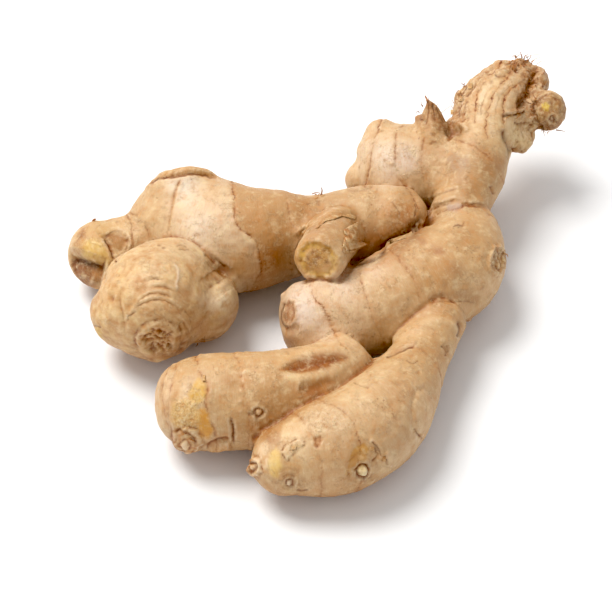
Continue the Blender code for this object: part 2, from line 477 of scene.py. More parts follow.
# ---- one level of subdivision -----------------------------------------------------
tmp = mesh_from("tmp", V * MM, Q)
ob = bpy.data.objects.new("tmp", tmp)
scene.collection.objects.link(ob)
m = ob.modifiers.new("sub", "SUBSURF")
m.levels = m.render_levels = 1
got = bpy.data.meshes.new_from_object(ob.evaluated_get(bpy.context.evaluated_depsgraph_get()))
bpy.data.objects.remove(ob)
co = np.empty(len(got.vertices) * 3, np.float32)
got.vertices.foreach_get("co", co)
loops = np.empty(len(got.loops), np.int32)
got.loops.foreach_get("vertex_index", loops)
V, Q = co.reshape(-1, 3).astype(float) / MM, loops.reshape(-1, 4)
bpy.data.meshes.remove(got)
net = Net(len(V), Q)
NRM = net.normals(V)
print("skin", len(V), "points", len(Q), "quads", "lowest", V.min(0), "highest", V.max(0))

# =============================================================================
# tools for working the skin
# =============================================================================
def _hash(x, y, z, seed):
    h = (x * 73856093) ^ (y * 19349663) ^ (z * 83492791) ^ (seed * 40503 + 977)
    h = ((h ^ (h >> 13)) * 1274126177) & 0xFFFFFFFF
    h = ((h ^ (h >> 15)) * 2246822519) & 0xFFFFFFFF
    h = h ^ (h >> 13)
    return (h & 0xFFFFFF) / float(0x800000) - 1.0


def noise(P, size, seed=0):
    """Gradient noise, about -1 to 1, with features of about size mm."""
    p = P / np.asarray(size, float)
    i = np.floor(p).astype(np.int64)
    f = p - i
    w = f * f * f * (f * (f * 6 - 15) + 10)
    out = 0.0
    for dx in (0, 1):
        for dy in (0, 1):
            for dz in (0, 1):
                x, y, z = i[:, 0] + dx, i[:, 1] + dy, i[:, 2] + dz
                g = (_hash(x, y, z, seed * 3 + 1) * (f[:, 0] - dx)
                     + _hash(x, y, z, seed * 3 + 2) * (f[:, 1] - dy)
                     + _hash(x, y, z, seed * 3 + 3) * (f[:, 2] - dz))
                out = out + g * ((w[:, 0] if dx else 1 - w[:, 0]) * (w[:, 1] if dy else 1 - w[:, 1])
                                 * (w[:, 2] if dz else 1 - w[:, 2]))
    return out * 1.5


def fbm(P, size, octaves=3, seed=0):
    out, a, s, tot = 0.0, 1.0, np.asarray(size, float), 0.0
    for k in range(octaves):
        out = out + a * noise(P + 17.3 * k, s, seed + k)
        tot += a
        a *= 0.5
        s = s * 0.5
    return out / tot


def lin(r, g, b):
    """An sRGB colour in 0-255 as linear light."""
    c = np.array((r, g, b), float) / 255
    return np.where(c <= 0.04045, c / 12.92, ((c + 0.055) / 1.055) ** 2.4)


def balance(c):
    """The skin's albedo for a colour as it is meant to look under the light."""
    return np.clip(c, 0.001, 1) ** np.array((1.08, 1.15, 1.27)) * np.array((0.742, 0.769, 0.922))


bvh = BVHTree.FromPolygons(V.tolist(), Q.tolist())
U, W, DEP = to_view(V)
to_eye = (EYE - V) / np.linalg.norm(EYE - V, axis=1)[:, None]
facing = (NRM * to_eye).sum(1)
seen = np.zeros(len(V))
for k in np.nonzero(facing > 0.02)[0]:
    o = V[k] + NRM[k] * 0.5 + to_eye[k] * 0.3
    if bvh.ray_cast(Vector(o), Vector(to_eye[k]), 300.0)[0] is None:
        seen[k] = 1.0
SEEN = seen * bump(facing, 0.03, 0.2)
SEEN = np.minimum(SEEN, net.smooth(SEEN, 1))
print("seen", int(seen.sum()))


def cast(u, v):
    """The point of the skin at (u, v)."""
    hit = bvh.ray_cast(Vector(EYE), Vector(view_ray(u, v)), 2000.0)
    if hit[0] is None:      # just outside the outline: the nearest point to the ray
        k = np.argmin((U - u) ** 2 + (W - v) ** 2 + 1e6 * (seen < 0.5))
        return V[k].copy()
    return np.array(hit[0])


def smooth_line(points, steps=4):
    pts = np.array(points, float)
    if len(pts) > 2:
        pts = through(np.hstack([pts, np.zeros((len(pts), 1))]), steps)[:, :2]
    return pts


def stroke(points, reach=12.0):
    """Signed distance in mm (within reach px) to a line drawn on the view, and the share along it."""
    pts = smooth_line(points)
    k = np.nonzero((U > pts[:, 0].min() - reach) & (U < pts[:, 0].max() + reach)
                   & (W > pts[:, 1].min() - reach) & (W < pts[:, 1].max() + reach) & (SEEN > 0))[0]
    best = np.full(len(k), 1e9)
    sign = np.ones(len(k))
    share = np.zeros(len(k))
    n = len(pts) - 1
    for a in range(n):
        d = pts[a + 1] - pts[a]
        L = max(np.hypot(*d), 1e-9)
        qx, qy = U[k] - pts[a, 0], W[k] - pts[a, 1]
        t = np.clip((qx * d[0] + qy * d[1]) / L ** 2, 0, 1)
        dist = np.hypot(qx - t * d[0], qy - t * d[1])
        cr = (qx * d[1] - qy * d[0]) / L
        m = dist < best
        best = np.where(m, dist, best)
        sign = np.where(m, np.sign(cr), sign)
        share = np.where(m, (a + t) / n, share)
    return k, best * 0.35 * np.where(sign == 0, 1, sign), share


def inside(points, reach=20.0):
    """Depth in mm inside (positive) or outside (negative) an outline drawn on the view."""
    pts = np.array(points, float)
    k = np.nonzero((U > pts[:, 0].min() - reach) & (U < pts[:, 0].max() + reach)
                   & (W > pts[:, 1].min() - reach) & (W < pts[:, 1].max() + reach) & (SEEN > 0))[0]
    best = np.full(len(k), 1e9)
    odd = np.zeros(len(k), bool)
    for a in range(len(pts)):
        p, q = pts[a], pts[(a + 1) % len(pts)]
        d = q - p
        L = max(np.hypot(*d), 1e-9)
        qx, qy = U[k] - p[0], W[k] - p[1]
        t = np.clip((qx * d[0] + qy * d[1]) / L ** 2, 0, 1)
        best = np.minimum(best, np.hypot(qx - t * d[0], qy - t * d[1]))
        if q[1] != p[1]:
            cross = (p[1] > W[k]) != (q[1] > W[k])
            odd ^= cross & (U[k] < p[0] + (W[k] - p[1]) * (q[0] - p[0]) / (q[1] - p[1]))
    return k, np.where(odd, best, -best) * 0.35


# ---- which finger each point belongs to, and its place along and round it --------
KIN = {
    "body_shoulder": "main_body", "finger_bud": "lower_left_finger",
    "right_finger_bud": "lower_right_finger", "right_finger_lobe": "lower_right_finger",
    "arm_root": "left_arm", "knob_bulge": "front_knob", "knob_side": "front_knob",
    "lobe_lump_top": "upper_lobe", "lobe_lump_mid": "upper_lobe", "lobe_lump_low": "upper_lobe",
    "sprout_side": "sprout", "sprout_low": "sprout",
    "knob_shoulder": "front_knob", "knob_corner": "front_knob", "knob_corner_low": "front_knob",
    "stub_cap": "upper_stub",
}


def place(u, v, z):
    """The point at height z (before placing) that shows at (u, v)."""
    k = (306 - v) / PX_PER_RAD
    z0 = z - 15.0
    y = (z0 * C48 + k * z0 * S48 - k * VIEW_FAR) / (k * C48 - S48)
    d = VIEW_FAR + y * C48 - z0 * S48
    return np.array(((u - 306) * d / PX_PER_RAD - 5.0, y - 10.0, z)) + PLACE


guide = np.array([place(448, 88, 36), place(470, 93, 37), place(495, 101, 36), place(520, 108, 35), place(552, 113, 36)])
guide = through(guide, 12)
gt, gs, gu = frames(guide)
SPINES["head"] = dict(c=guide, a=np.full(len(guide), 11.0), b=np.full(len(guide), 11.0), t=gt, side=gs, up=gu,
                      run=np.concatenate([[0.0], np.cumsum(np.linalg.norm(np.diff(guide, axis=0), axis=1))]))

names = list(FINGERS)
gap = np.stack([along(V, n)[2] for n in names], 1)
kin = [KIN.get(n, "head" if n.startswith("head") else n) for n in names]
FAMILIES = sorted(set(kin))
fam_gap = np.stack([gap[:, [i for i, k in enumerate(kin) if k == f]].min(1) for f in FAMILIES], 1)
order = np.argsort(fam_gap, 1)
FAM = order[:, 0].copy()
OTHER = order[:, 1]
rows = np.arange(len(V))
APART = fam_gap[rows, OTHER] - fam_gap[rows, FAM]
CLEAR = np.clip(APART / 3.0, 0, 1)                   # 0 in the creases between fingers
HEAD_I, NECK_I = FAMILIES.index("head"), FAMILIES.index("neck")
FAM[(FAM == NECK_I) & (V[:, 1] > 61)] = HEAD_I
CLEAR[(FAM == HEAD_I) | ((FAM == NECK_I) & (OTHER == HEAD_I))] = 1.0
fam_name = np.array(FAMILIES)[FAM]

RUN, ANG, LX, LY = (np.zeros(len(V)) for _ in range(4))
for f in FAMILIES:
    k = np.nonzero(fam_name == f)[0]
    if len(k):
        r, th, _, x, y = along(V[k], f)
        RUN[k], ANG[k], LX[k], LY[k] = r, th, x, y

DISP = np.zeros(len(V))
CREASE = np.zeros(len(V))         # depth of the folds between fingers
COL = np.tile(lin(226, 188, 140), (len(V), 1))
RING_D = np.full(len(V), 9.0)     # signed mm to the nearest ring, + towards the tip
RING_W = np.zeros(len(V))         # how strongly it shows
LINE_D = np.full(len(V), 9.0)     # mm to the nearest crack
LINE_W = np.zeros(len(V))
ROUGH = np.full(len(V), 0.53)
PEEL = np.zeros(len(V))           # where the skin is flaky and corky


def tint(k, w, rgb, much=1.0):
    w = np.clip(w * much, 0, 1)[:, None]
    COL[k] = COL[k] * (1 - w) + lin(*rgb) * w


ALL = slice(None)


def ring(finger, pts, lip=0.2, groove=0.2, jag=0.3, line=0.5, stain=0.3, waist=0.0, step=0.0, rgb=(178, 118, 66)):
    """A node ring through the places pts, carried on round the whole finger."""
    k = np.nonzero(fam_name == finger)[0]
    P = np.array([cast(u, v) for u, v in pts])
    r, th, _, _, _ = along(P, finger)
    A = np.stack([np.ones_like(th), np.cos(th), np.sin(th), np.cos(2 * th), np.sin(2 * th),
                  np.cos(3 * th), np.sin(3 * th)], 1)
    reg = np.diag([1e-4, 0.02, 0.02, 0.08, 0.08, 0.25, 0.25]) * len(th)
    mid = r.mean()
    c = np.linalg.solve(A.T @ A + reg, A.T @ (r - mid))
    t0 = ANG[k]
    fit = (c[0] + c[1] * np.cos(t0) + c[2] * np.sin(t0) + c[3] * np.cos(2 * t0) + c[4] * np.sin(2 * t0)
           + c[5] * np.cos(3 * t0) + c[6] * np.sin(3 * t0))
    t = np.full(len(V), np.nan)
    t[k] = RUN[k] - mid - np.clip(fit, -9, 9) + 0.5 * noise(V[k], 7, 47)
    fade = CLEAR.copy()
    ks, s, share = stroke(pts, 12)
    both = ks[~np.isnan(t[ks])]
    s_by = dict(zip(ks.tolist(), s.tolist()))
    flip = sum(t[i] * s_by[i] for i in both.tolist())
    s = s * (1 if flip >= 0 else -1)
    on = (share > 0.01) & (share < 0.99) & (SEEN[ks] > 0.12)
    w = np.clip(SEEN[ks] * 3, 0, 1) * on
    old = np.where(np.isnan(t[ks]), s, t[ks])
    t[ks] = np.where(on, old * (1 - w) + s * w, t[ks])
    fade[ks] = np.where(on, np.maximum(fade[ks], 0.9), fade[ks])
    k = np.nonzero(~np.isnan(t) & (np.abs(t) < 14))[0]
    t = t[k] + jag * (0.8 * noise(V[k], 2.4, 41) + 0.6 * noise(V[k], 1.1, 43))
    fade = fade[k]
    strong = np.clip(0.6 + 0.9 * noise(V[k], 6, 51) + 0.4 * noise(V[k], 2.5, 52), 0.05, 1.4)
    DISP[k] += fade * (-groove * np.exp(-(t / 0.6) ** 2) * strong
                       + lip * np.exp(-((t + 1.1) / 0.9) ** 2) * strong
                       - 0.4 * lip * np.exp(-((t - 1.4) / 1.6) ** 2)
                       - waist * np.exp(-(t / 5.0) ** 2)
                       + step * np.where(t > 0, np.exp(-t / 2.5), 0) * np.clip(0.6 + noise(V[k], 3, 53), 0.1, 1.5))
    w = 0.8 * line * strong * np.clip(fade * 1.5, 0, 1) * np.clip(1.3 - np.abs(t) / 3.0, 0, 1)
    m = np.abs(t) < np.abs(RING_D[k])
    RING_D[k] = np.where(m, t, RING_D[k])
    RING_W[k] = np.where(m, w, RING_W[k])
    tint(k, stain * np.exp(-((t + 0.3) / 1.3) ** 2) * fade * strong, rgb)
    return k, t, fade


def crack(pts, width=0.5, deep=0.5, dark=0.8, rgb=(120, 72, 36), jag=0.25, ends=0.12, halo=0.0):
    k, s, share = stroke(pts, 14)
    s = s + jag * (0.7 * noise(V[k], 1.8, 61) + 0.4 * noise(V[k], 0.8, 63))
    f = bump(share, -0.001, ends) * (1 - bump(share, 1 - ends, 1.001)) * SEEN[k] * (np.abs(s) < 4.5)
    DISP[k] -= deep * np.exp(-(s / (width * 1.3)) ** 2) * f
    tint(k, 0.75 * dark * np.exp(-(s / width) ** 2) * f * np.clip(0.7 + 0.6 * noise(V[k], 3.5, 69), 0.1, 1), rgb)
    if halo:
        tint(k, halo * np.exp(-(s / (width * 3.5)) ** 2) * f, (188, 132, 80))
    w = dark * f * np.clip(1.3 - np.abs(s) / 2.0, 0, 1) * np.clip(0.55 + 0.9 * noise(V[k], 3.0, 67), 0, 1)
    m = np.abs(s) < np.abs(LINE_D[k])
    LINE_D[k] = np.where(m, s, LINE_D[k])
    LINE_W[k] = np.where(m, w, LINE_W[k])


def fold(pts, width=1.5, high=0.5, side=0.0, rgb=None, much=0.5, ends=0.15):
    """A ridge (or with high < 0 a valley) along a line; side adds a step across it."""
    k, s, share = stroke(pts, max(14, 2.4 * width / 0.35))
    f = bump(share, -0.001, ends) * (1 - bump(share, 1 - ends, 1.001)) * SEEN[k]
    DISP[k] += high * np.exp(-(s / width) ** 2) * f
    if side:
        DISP[k] += side * np.where(s > 0, np.exp(-s / width), 0) * f
    if rgb:
        tint(k, much * np.exp(-(s / width) ** 2) * f, rgb)


def patch(pts, rgb, much=0.8, soft=0.6, jag=0.5, sink=0.0, rough=None, peel=0.0, mottled=0.0, mrgb=(200, 150, 90), on=None):
    k, d = inside(pts)
    if on is None:      # the finger that most of the outline lies on
        mine = fam_name[k[(d > 0) & (SEEN[k] > 0.3)]]
        on = max(FAMILIES, key=lambda f: (mine == f).sum())
    k, d = k[fam_name[k] == on], d[fam_name[k] == on]
    d = d + jag * (noise(V[k], 3.0, 71) + 0.6 * noise(V[k], 1.3, 73))
    w = bump(d, -soft, soft) * np.clip(SEEN[k] * 3, 0, 1)
    DISP[k] -= sink * w
    tint(k, w, rgb, much)
    if mottled:
        tint(k, w * bump(noise(V[k], 2.6, 77) + 0.5 * noise(V[k], 1.2, 78), 0.0, 0.5), mrgb, mottled)
    if rough is not None:
        ROUGH[k] = ROUGH[k] * (1 - w) + rough * w
    PEEL[k] = np.maximum(PEEL[k], peel * w)
    return k, d, w


def spot(u, v, r, high=0.0, rgb=None, much=0.6, power=2.0, both=True):
    """A round bump or dimple of radius r px and height mm, and/or a stain."""
    c = cast(u, v)
    R = r * 0.35
    d = np.linalg.norm(V - c, axis=1)
    k = np.nonzero(d < 2.6 * R)[0]
    g = np.exp(-(d[k] / R) ** power)
    DISP[k] += high * g
    if rgb:
        tint(k, g, rgb, much)


def scar(u, v, r, ring_rgb=(112, 68, 36), mid_rgb=(206, 160, 110), deep=0.5, swell=0.4, width=0.55, squash=(1, 1), turn=0.0):
    """A bud scar: a dark ring of r px round a raised middle."""
    c = cast(u, v)
    k = np.nonzero((np.linalg.norm(V - c, axis=1) < 3.5 * r * 0.35) & (SEEN > 0))[0]
    ca, sa = math.cos(turn), math.sin(turn)
    dx, dy = (U[k] - u) * 0.35, (W[k] - v) * 0.35
    a, b = (dx * ca + dy * sa) / squash[0], (-dx * sa + dy * ca) / squash[1]
    d = np.hypot(a, b) * (1 + 0.22 * noise(V[k], 3.0, 83)) + 0.5 * noise(V[k], 1.6, 81) + 0.2 * noise(V[k], 0.8, 85)
    part = np.clip(0.65 + 0.7 * noise(V[k], 2.6, 87), 0.15, 1)
    R = r * 0.35
    s = d - R
    DISP[k] += (swell * (1 - bump(d, R * 0.2, R * 0.9)) + 0.7 * swell * np.exp(-((s - 1.0) / 0.8) ** 2) * (0.6 + 0.8 * part)
                - deep * (0.5 + 0.5 * part) * np.exp(-(s / width) ** 2)
                - 0.3 * swell * np.exp(-((s - 2.3) / 0.7) ** 2)) * SEEN[k]
    tint(k, (1 - bump(d, R * 0.6, R)) * SEEN[k], mid_rgb, 0.85)
    tint(k, np.exp(-((s - 0.9) / 0.7) ** 2) * SEEN[k] * (1 - 0.5 * part), (236, 200, 150), 0.5)
    tint(k, np.exp(-((s - 2.3) / 0.8) ** 2) * SEEN[k] * part, (178, 122, 74), 0.4)
    tint(k, np.exp(-(s / (width * 0.9)) ** 2) * SEEN[k] * part, ring_rgb, 0.9)
    m = np.abs(s) < np.abs(LINE_D[k])
    LINE_D[k] = np.where(m, s, LINE_D[k])
    LINE_W[k] = np.where(m, 0.12 * part * SEEN[k] * np.clip(1.3 - np.abs(s) / 2.0, 0, 1), LINE_W[k])


def tone(u, v, r, rgb, much=0.7):
    """A broad, soft change of colour on the visible side, r px wide: the skin's own tones, and in some places painted
    shade, in others a painted highlight.
    """
    d2 = (U - u) ** 2 + (W - v) ** 2
    k = np.nonzero((d2 < (2.6 * r) ** 2) & (SEEN > 0))[0]
    wob = 1 + 0.25 * noise(V[k], 12, 91) + 0.15 * noise(V[k], 5, 93)
    tint(k, np.exp(-d2[k] / (r * wob) ** 2) * np.clip(SEEN[k] * 2, 0, 1), rgb, much)


def crease(a, b, width, deep, dark=0.8, where=None, rgb=(96, 54, 24)):
    """A tight fold where two fingers meet, darkened with painted shade."""
    ia, ib = FAMILIES.index(a), FAMILIES.index(b)
    m = ((order[:, 0] == ia) & (order[:, 1] == ib)) | ((order[:, 0] == ib) & (order[:, 1] == ia))
    k = np.nonzero(m & (APART < width * 4))[0]
    f = np.ones(len(k)) if where is None else where(k)
    s = APART[k] + 0.15 * noise(V[k], 5, 95)
    close = 1 - bump(fam_gap[k, order[k, 0]], 3.0, 6.0)
    CREASE[k] += deep * np.exp(-(s / width) ** 2) * f * close
    tint(k, dark * np.exp(-(s / (width * 1.15)) ** 2) * f * close, rgb)
    tint(k, 0.5 * dark * np.exp(-(s / (width * 3.0)) ** 2) * f * close, (170, 108, 56))


# =============================================================================
# the plain skin: soft lumps, facets and tones all over
# =============================================================================
HEADW = net.smooth((fam_name == "head").astype(float), 6)
DISP += 0.50 * fbm(V, 24, 2, 5) + 0.28 * fbm(V, 9, 2, 11) * (1 + 0.8 * HEADW)
DISP -= 0.5 * np.maximum(0, noise(V, 14, 31) - 0.2)
DISP += 0.14 * noise(V, 3.2, 33) * (1 + HEADW) + 0.08 * noise(V, 1.6, 35) * (1 + 1.4 * HEADW)

big = fbm(V, 30, 2, 101)
mid = fbm(V, 11, 2, 103)
tint(ALL, bump(big, 0.0, 0.55), (240, 212, 172), 0.6)
tint(ALL, bump(-big, 0.0, 0.55), (206, 160, 110), 0.5)
tint(ALL, bump(mid, 0.1, 0.6), (236, 204, 162), 0.35)
tint(ALL, bump(-mid, 0.1, 0.6), (198, 148, 96), 0.3)
# painted shade: the tint below darkens and browns every downward-facing part of the skin
tint(ALL, bump(-NRM[:, 2], 0.0, 0.8), (176, 108, 52), 0.6)       # underside
tint(ALL, HEADW, (224, 186, 138), 0.4)

# ---- hidden sides: node rings of their own -----------------------------------------
def plain_ring(finger, share, **kw):
    """A node ring at a share of the finger's length, all round it, away from the drawn ones."""
    s = SPINES[finger]
    k = np.nonzero(fam_name == finger)[0]
    at = s["run"][-1] * share
    t = RUN[k] - at + 1.2 * np.cos(ANG[k] + at) + 0.8 * np.cos(2 * ANG[k] + 2.3 * at) + 0.7 * noise(V[k], 7, 47)
    t = t + 0.3 * (0.8 * noise(V[k], 2.4, 41) + 0.6 * noise(V[k], 1.1, 43))
    f = CLEAR[k] * (1 - np.clip(SEEN[k] * 2.5, 0, 1))
    strong = np.clip(0.75 + 0.6 * noise(V[k], 6, 51), 0.2, 1.3)
    DISP[k] += f * strong * (0.2 * np.exp(-((t + 1.1) / 0.9) ** 2) - 0.22 * np.exp(-(t / 0.6) ** 2))
    m = (np.abs(t) < np.abs(RING_D[k])) & (f > 0.05)
    RING_D[k] = np.where(m, t, RING_D[k])
    RING_W[k] = np.where(m, 0.5 * f * strong * np.clip(1.3 - np.abs(t) / 3.0, 0, 1), RING_W[k])
    tint(k, 0.3 * np.exp(-((t + 0.3) / 1.3) ** 2) * f * strong, (178, 118, 66))


# =============================================================================
# creases between the fingers, deepened and darkened with painted shade
# =============================================================================
crease("left_arm", "main_body", 1.6, 4.2, 1.0, rgb=(52, 26, 12))
crease("cut_nub", "main_body", 1.3, 2.8, 1.0, rgb=(60, 32, 15))
crease("cut_nub", "left_arm", 0.7, 0.3, 0.25)
crease("left_arm", "upper_lobe", 0.8, 0.6, 0.55, rgb=(126, 74, 36))
crease("left_arm", "neck", 1.4, 2.6, 0.9, rgb=(64, 34, 16))
crease("lower_left_finger", "lower_right_finger", 1.2, 0.8, 0.8, rgb=(92, 52, 24))
crease("front_knob", "left_arm", 0.8, 0.9, 0.45, lambda k: 1 - bump(U[k], 195, 222) * np.clip(SEEN[k] * 3, 0, 1))
crease("front_knob", "left_tip", 1.3, 2.2, 0.85, rgb=(72, 40, 20))
crease("main_body", "lower_right_finger", 0.9, 0.7, 0.4)
crease("main_body", "lower_left_finger", 0.9, 0.5, 0.3)
crease("main_body", "neck", 0.7, 0.5, 0.25)
crease("head", "sprout", 1.4, 2.0, 0.9, rgb=(74, 40, 20))
crease("neck", "sprout", 1.2, 1.0, 0.6, rgb=(110, 66, 34))

# =============================================================================
# left arm, tip and stub
# =============================================================================
tone(205, 205, 30, (238, 200, 156), 0.8); tone(200, 228, 18, (255, 234, 202), 0.75)
tone(225, 240, 26, (238, 206, 166), 0.6); tone(183, 183, 17, (255, 238, 208), 0.8)
tone(262, 205, 24, (206, 160, 110), 0.8); tone(250, 222, 14, (200, 150, 98), 0.6)
tone(275, 235, 26, (204, 154, 100), 0.7); tone(305, 209, 24, (184, 132, 78), 0.78)
# painted shade: the darker, browner tones at (262, 265) and (270, 259) on the arm's lower side
tone(262, 265, 20, (188, 128, 66), 0.6); tone(240, 268, 14, (226, 176, 120), 0.5); tone(270, 259, 12, (188, 116, 54), 0.8)
tone(340, 204, 22, (206, 166, 122), 0.65); tone(375, 205, 16, (220, 180, 132), 0.6)
# painted shade: the brown tone at (407, 210) and those on the next line darken the arm's end bulb, most of all its
# lower part
tone(385, 232, 22, (206, 154, 104), 0.6); tone(407, 210, 16, (182, 120, 58), 0.85)
tone(370, 248, 15, (206, 138, 86), 0.7); tone(395, 243, 14, (160, 100, 50), 0.75); tone(415, 230, 12, (146, 86, 38), 0.8); tone(410, 235, 10, (124, 74, 36), 0.8)
A0 = [(231.5, 180.5), (234, 199), (234.5, 218), (238, 227), (247.5, 234), (255.6, 242), (259, 256), (261, 271), (254, 286)]
k, t, f = ring("left_arm", A0, lip=0.1, groove=0.25, jag=0.6, line=0.75, stain=0.35, step=0.45, waist=0.2)
tint(k, bump(-t, 0.0, 0.8) * (1 - bump(-t, 2, 9)) * f, (196, 146, 92), 0.45)
tint(k, bump(t, 0.2, 0.8) * (1 - bump(t, 2, 8)) * f, (248, 224, 188), 0.25)
ring("left_arm", [(181, 178), (177, 186), (172, 200), (169, 216), (168, 232)], lip=0.15, groove=0.15, line=0.3, stain=0.35, rgb=(214, 160, 106))
ring("left_arm", [(287.6, 204), (289, 215), (293, 225.5), (300, 236)], lip=0.1, groove=0.15, line=0.4, stain=0.2, step=0.15)
ring("left_arm", [(381, 205), (389.5, 213.5), (395, 224), (399, 235)], lip=0.05, groove=0.12, line=0.2, stain=0.1, step=0.15)
ring("left_tip", [(129, 218), (131, 225), (132, 235), (133, 246)], lip=0.2, groove=0.3, line=0.6, stain=0.4)
ring("left_tip", [(140, 219), (147, 230), (149, 241)], lip=0.2, groove=0.25, line=0.5, stain=0.35)
ring("upper_stub", [(152.4, 180.5), (162, 177), (174, 176), (188.6, 173.7), (202, 174.4), (218, 178)], lip=0.35, groove=0.35, jag=0.5, line=0.75, stain=0.5)
patch([(150, 178), (160, 170), (175, 166), (195, 165), (208, 169), (218, 177), (202, 173), (188, 172.5), (174, 175), (162, 176)],
      (214, 156, 88), 0.8, soft=0.8, peel=0.8, mottled=0.6, mrgb=(240, 196, 130))
crack([(151, 186), (153, 180.5), (162, 177), (174, 176), (188.6, 173.7), (202, 174.4), (218, 178)], 0.55, 0.8, 0.75, rgb=(150, 94, 48), jag=0.5)
fold([(152, 178), (162, 174), (174, 173), (188.6, 170.7), (202, 171.4), (216, 175)], 0.9, 0.6, rgb=(232, 184, 120), much=0.5)
fold([(181, 178), (177, 187), (173.5, 200), (170.5, 216), (169, 230)], 0.5, -0.25, rgb=(206, 154, 100), much=0.6)
crack([(160, 174), (166, 170)], 0.4, 0.2, 0.6); crack([(171, 176), (176, 171)], 0.4, 0.2, 0.6); crack([(152, 176), (156, 171)], 0.5, 0.2, 0.6)
crack([(306, 204), (313, 203), (321, 205)], 0.4, 0.2, 0.35, jag=0.8)
spot(318, 201, 4, -0.2, (140, 90, 52), 0.5); spot(283, 188.5, 3, 0.25, (170, 116, 68), 0.5); spot(300, 194, 3, 0.2)
crack([(415, 203), (416, 210), (415, 217)], 0.35, 0.2, 0.7); crack([(408, 224), (412, 228)], 0.3, 0.15, 0.5)
crack([(391, 200), (397, 208), (401, 216)], 0.3, 0.1, 0.25)
# tip: cut flesh, wedge-shaped gap and flap
tone(100, 235, 22, (214, 170, 108), 0.8); tone(125, 235, 14, (228, 186, 134), 0.6)
patch([(82, 242), (92, 238), (102, 243), (110, 254), (115, 262), (104, 266), (90, 264), (80, 258)], (240, 200, 112), 0.8, soft=0.8,
      rough=0.45, mottled=0.5, mrgb=(214, 162, 84))
patch([(103, 237), (112, 231), (122, 232), (127, 240), (124, 250), (113, 255), (108, 246)], (172, 118, 66), 0.8, soft=0.8, sink=0.8)
crack([(104, 238), (110, 246), (113, 256), (116, 263)], 0.5, 0.8, 0.8)
fold([(101, 239), (107, 247), (110, 257), (112, 263)], 0.7, 0.4, rgb=(240, 206, 150), much=0.5)
crack([(124, 233), (128, 240), (126, 250), (119, 257)], 0.4, 0.35, 0.4)
fold([(126.5, 233), (130.5, 240), (128, 251), (120, 259)], 0.6, 0.35, rgb=(236, 196, 146), much=0.5)
crack([(104, 237), (113, 231), (121, 231)], 0.4, 0.25, 0.5)
# painted shadow: the near-black line along the wedge-shaped gap under the flap
crack([(64, 260), (74, 261.5), (86, 265), (98, 269.5), (106, 271)], 2.2, 3.2, 1.0, rgb=(54, 28, 12), jag=0.25, ends=0.08)
fold([(66, 256), (76, 257), (88, 260), (98, 263)], 1.0, 0.6, rgb=(226, 180, 120), much=0.4)
fold([(70, 272), (80, 276), (92, 282)], 2.4, -1.0)
fold([(70, 278), (80, 283), (92, 289), (102, 290)], 1.6, 0.3, rgb=(232, 172, 112), much=0.6)
patch([(66, 262), (78, 264), (92, 269), (104, 272), (102, 282), (92, 290), (78, 284), (68, 272)], (150, 90, 42), 0.9, soft=0.8,
      peel=0.1, mottled=0.35, mrgb=(104, 60, 28))
patch([(76, 236), (82, 228), (88, 224), (86, 238), (84, 252), (76, 258), (72, 250)], (208, 156, 98), 0.6, soft=0.8, peel=0.5, mottled=0.5, mrgb=(166, 106, 58))
# painted shadow, laid again over the brown patch along the gap
crack([(64, 262), (74, 263.5), (86, 267), (98, 271), (106, 272)], 1.5, 0.3, 1.0, rgb=(40, 20, 8), jag=0.3, ends=0.08)
spot(80, 236, 5, -0.3, (132, 84, 46), 0.5); spot(94, 221, 3, 0.4, (150, 98, 56), 0.6); spot(81, 227, 2.5, 0.3, (150, 98, 56), 0.6)
spot(139, 220, 2.2, 0.15, (120, 74, 40), 0.8); spot(117, 222, 2.0, 0.1, (150, 98, 56), 0.6); spot(110, 220, 1.8, 0.1, (150, 98, 56), 0.5)
crack([(84, 224), (90, 219), (98, 217)], 0.35, 0.15, 0.5)

# =============================================================================
# front knob
# =============================================================================
tone(130, 280, 34, (236, 198, 146), 0.75); tone(165, 262, 24, (238, 204, 158), 0.6); tone(115, 300, 22, (234, 190, 134), 0.6)
tone(190, 300, 24, (214, 170, 122), 0.6); tone(215, 310, 20, (220, 178, 130), 0.6); tone(202, 330, 16, (240, 190, 132), 0.55)
tone(228, 322, 12, (222, 182, 136), 0.4); tone(100, 330, 14, (228, 184, 126), 0.5)
k = np.nonzero((np.hypot(U - 158, W - 342) < 78) & (SEEN > 0) & (fam_name == "front_knob"))[0]
rr = np.hypot(U[k] - 158, (W[k] - 341) * 1.08) * 0.35
rr = rr * (1 + 0.14 * noise(V[k], 9, 112)) + 1.3 * noise(V[k], 5, 111) + 0.7 * noise(V[k], 1.8, 113)
turned = 0.45 + 0.55 * ((U[k] - 158) * 0.3 - (W[k] - 342)) / 60
wr = (1 - bump(rr, 7, 24)) * SEEN[k] * np.clip(turned, 0.1, 1) * np.clip(0.6 + 0.9 * noise(V[k], 7, 116), 0.05, 1.2)
wave = np.sin(rr * 2 * math.pi / 2.3 + 3.0 * noise(V[k], 6, 115)) + 0.6 * np.sin(rr * 2 * math.pi / 1.25 + 3.6 * noise(V[k], 4, 119))
DISP[k] += wr * 0.09 * wave * np.clip(0.5 + noise(V[k], 5, 217), 0, 1.4)
tint(k, wr * bump(-wave, 0.3, 1.2), (190, 132, 76), 0.5)
tint(k, wr * bump(wave, 0.3, 1.2), (246, 216, 168), 0.4)
part = np.clip(0.6 + 0.9 * noise(V[k], 4.5, 114), 0.15, 1.3)
DISP[k] += (0.75 * part * np.exp(-((rr - 6.6) / 1.4) ** 2) - 1.3 * (1 - bump(rr, 2.6, 6.0))
            - 0.45 * part * np.exp(-((rr - 8.7) / 0.8) ** 2)) * SEEN[k]
tint(k, np.exp(-((rr - 6.4) / 1.2) ** 2) * part, (224, 176, 116), 0.6)
tint(k, (1 - bump(rr, 3.6, 6.2)), (202, 146, 84), 0.75)
